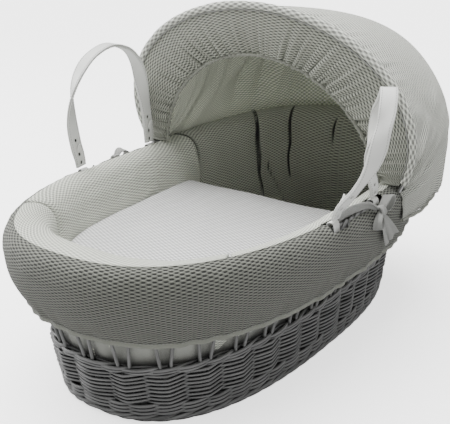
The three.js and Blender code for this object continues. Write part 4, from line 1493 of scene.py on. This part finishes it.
def build_tie(name, node, side, knot, drift, flat=1.0):
    """Bow of soft cotton strips: one loop stands up, one hangs, two tails run down the skirt.

    Points of the strips are offsets from the knot: along the rim, outwards and up (mm).
    """
    sheets = Sheets()
    turn = np.array([side, 1, 1])

    def place(rows):
        return (np.array(knot) + np.array(rows, float)[:, [1, 0, 2]]) * turn

    standing = place([(3, 1, 0), (7, 3, 12 * flat), (16, 4, 21 * flat), (27, 3, 18 * flat),
                      (31, 1, 7 * flat), (24, 0, -4), (6, -1, -3)])
    hanging = place([(-3, 1, 0), (-9, 4, -2), (-17, 6, -10), (-17, 6, -21), (-7, 5, -24),
                     (2, 3, -15), (1, 0, -2)])
    across = np.array([[1, 0, 0.2]] * 7) * turn
    ribbon(sheets, standing, across, [7, 13, 17, 18, 17, 13, 7], 0.9, 1)
    ribbon(sheets, hanging, across, [6, 12, 15, 16, 15, 11, 6], 0.9, 2)
    for s, seed in ((-1, 6), (1, 7)):
        tail = place([(s * 2, 1, -2), (s * 6 + drift * 0.4, 3, -18),
                      (s * 9 + drift * 1.1, 0, -40), (s * 11 + drift * 1.9, -5, -62)])
        ribbon(sheets, tail, np.array([[0.25, s, 0.15]] * 4) * turn, [6, 13, 18, 21], 1.9, seed)
    wrap = place([(0, -4, 7), (0, 4, 7), (0, 7, 0), (0, 4, -7), (0, -4, -7)])
    ribbon(sheets, wrap, np.array([[0, 1, 0.0]] * 5), [13, 14, 14, 14, 13], 0.9, 9, 3.0)
    make_tie(sheets, name, node)


def build_sash():
    """The strip that runs from the near foot loop along the rim to the bow."""
    path = np.array([[231, -86, 262], [233, -68, 265], [236, -50, 266], [239, -34, 266],
                     [243, -18, 264], [247, -6, 258], [250, 2, 252]], float)
    across = np.array([[0.35, 0.1, 1], [0.4, 0.1, 1], [0.45, 0.1, 1], [0.5, 0, 1], [0.6, 0, 0.9],
                       [0.8, 0, 0.6], [0.9, 0, 0.3]])
    sheets = Sheets()
    ribbon(sheets, path, across, [18, 22, 22, 20, 17, 12, 8], 1.9, 21)
    make_tie(sheets, "tie_sash_right")


build_sash()
build_tie("tie_bow_right", "tie_right", 1, (252.0, 4.0, 249.0), 30.0)
build_tie("tie_bow_left", "tie_left", -1, (256.0, -4.0, 243.0), 0.0, flat=0.62)


# ------------------------------------------------------------------ seams and stitching
def running_stitches(sheets, path, step, length, radius):
    """Short raised stitches along a path."""
    total = lengths(path)
    for start in np.arange(step, total[-1] - step, step):
        points = read_line(path, total, start + np.array([0, 0.3, 0.7, 1.0]) * length)
        sheets.tube(points, radius, 5, across=(0.3, 0.2, 1))


def build_hem_stitching():
    sheets = Sheets()
    angle, _, ruffle = skirt_round()
    path = oval(angle, *HEM_OVAL, 1.5 + ruffle, 148.4)
    running_stitches(sheets, np.vstack([path, path[:1]]), 5.0, 3.2, 0.35)
    sheets.make("skirt_hem_stitching", THREAD, "basket", slot="waffle_fabric")


build_hem_stitching()


# ------------------------------------------------------------------ studio
def add_lamp(lamp, place, direction):
    """Puts a lamp in the scene, shining along a direction."""
    holder = bpy.data.objects.new(lamp.name, lamp)
    holder.location = place
    holder.rotation_euler = Vector(direction).to_track_quat("-Z", "Y").to_euler()
    bpy.context.scene.collection.objects.link(holder)


def build_studio():
    """Pale floor that looks brighter than the light it bounces, soft sky, a sun and two panels."""
    floor_mesh = bpy.data.meshes.new("floor")
    size = 6.0
    corners = [(-size, -size, 0), (size, -size, 0), (size, size, 0), (-size, size, 0)]
    floor_mesh.from_pydata(corners, [], [(0, 1, 2, 3)])
    floor = bpy.data.objects.new("floor", floor_mesh)
    bpy.context.scene.collection.objects.link(floor)
    floor.location.z = -0.0005
    paper = Look("pale paper", roughness=0.9)
    seen = paper.node("ShaderNodeLightPath").outputs["Is Camera Ray"]
    pale = paper.mix(paper.noise(3.0), grey(0.93), grey(0.96))
    paper.color(paper.mix(seen, grey(0.42), pale))
    paper.put(paper.shader.inputs["Emission Color"], (1.0, 1.0, 1.0))
    paper.put(paper.shader.inputs["Emission Strength"], paper.times(seen, 1.8))
    floor_mesh.materials.append(paper.material)

    world = bpy.data.worlds.new("studio")
    bpy.context.scene.world = world
    world.use_nodes = True
    background = world.node_tree.nodes["Background"]
    background.inputs[0].default_value = (1.0, 1.0, 1.0, 1)
    background.inputs[1].default_value = 0.5

    sky = bpy.data.lights.new("overhead", "SUN")
    sky.energy = 6.2
    sky.angle = math.radians(60)
    add_lamp(sky, (0, 0, 0), (0.22, -0.06, -1.0))

    for name, place, energy in (
            ("front fill", (2.0, -1.5, 1.2), 9), ("left edge", (-2.2, -0.5, 1.1), 44)):
        panel = bpy.data.lights.new(name, "AREA")
        panel.size = 1.2
        panel.energy = energy
        add_lamp(panel, place, Vector((0, 0, 0.25)) - Vector(place))


def build_camera():
    """The photograph's viewpoint: azimuth 34.6 and elevation 20.3 degrees, 1.5 m away."""
    azimuth, elevation, distance = math.radians(34.56), math.radians(20.27), 1.498
    target = Vector((-0.0119, -0.0056, 0.1973))
    back = Vector((math.sin(azimuth) * math.cos(elevation),
                   -math.cos(azimuth) * math.cos(elevation), math.sin(elevation)))
    data = bpy.data.cameras.new("camera")
    data.lens = 72.96
    data.sensor_width = 36
    data.shift_x = -0.0087
    data.shift_y = -0.0019
    camera = bpy.data.objects.new("camera", data)
    camera.location = target + back * distance
    camera.rotation_mode = "QUATERNION"
    camera.rotation_quaternion = (-back).to_track_quat("-Z", "Y")
    bpy.context.scene.collection.objects.link(camera)
    bpy.context.scene.camera = camera


build_studio()
build_camera()
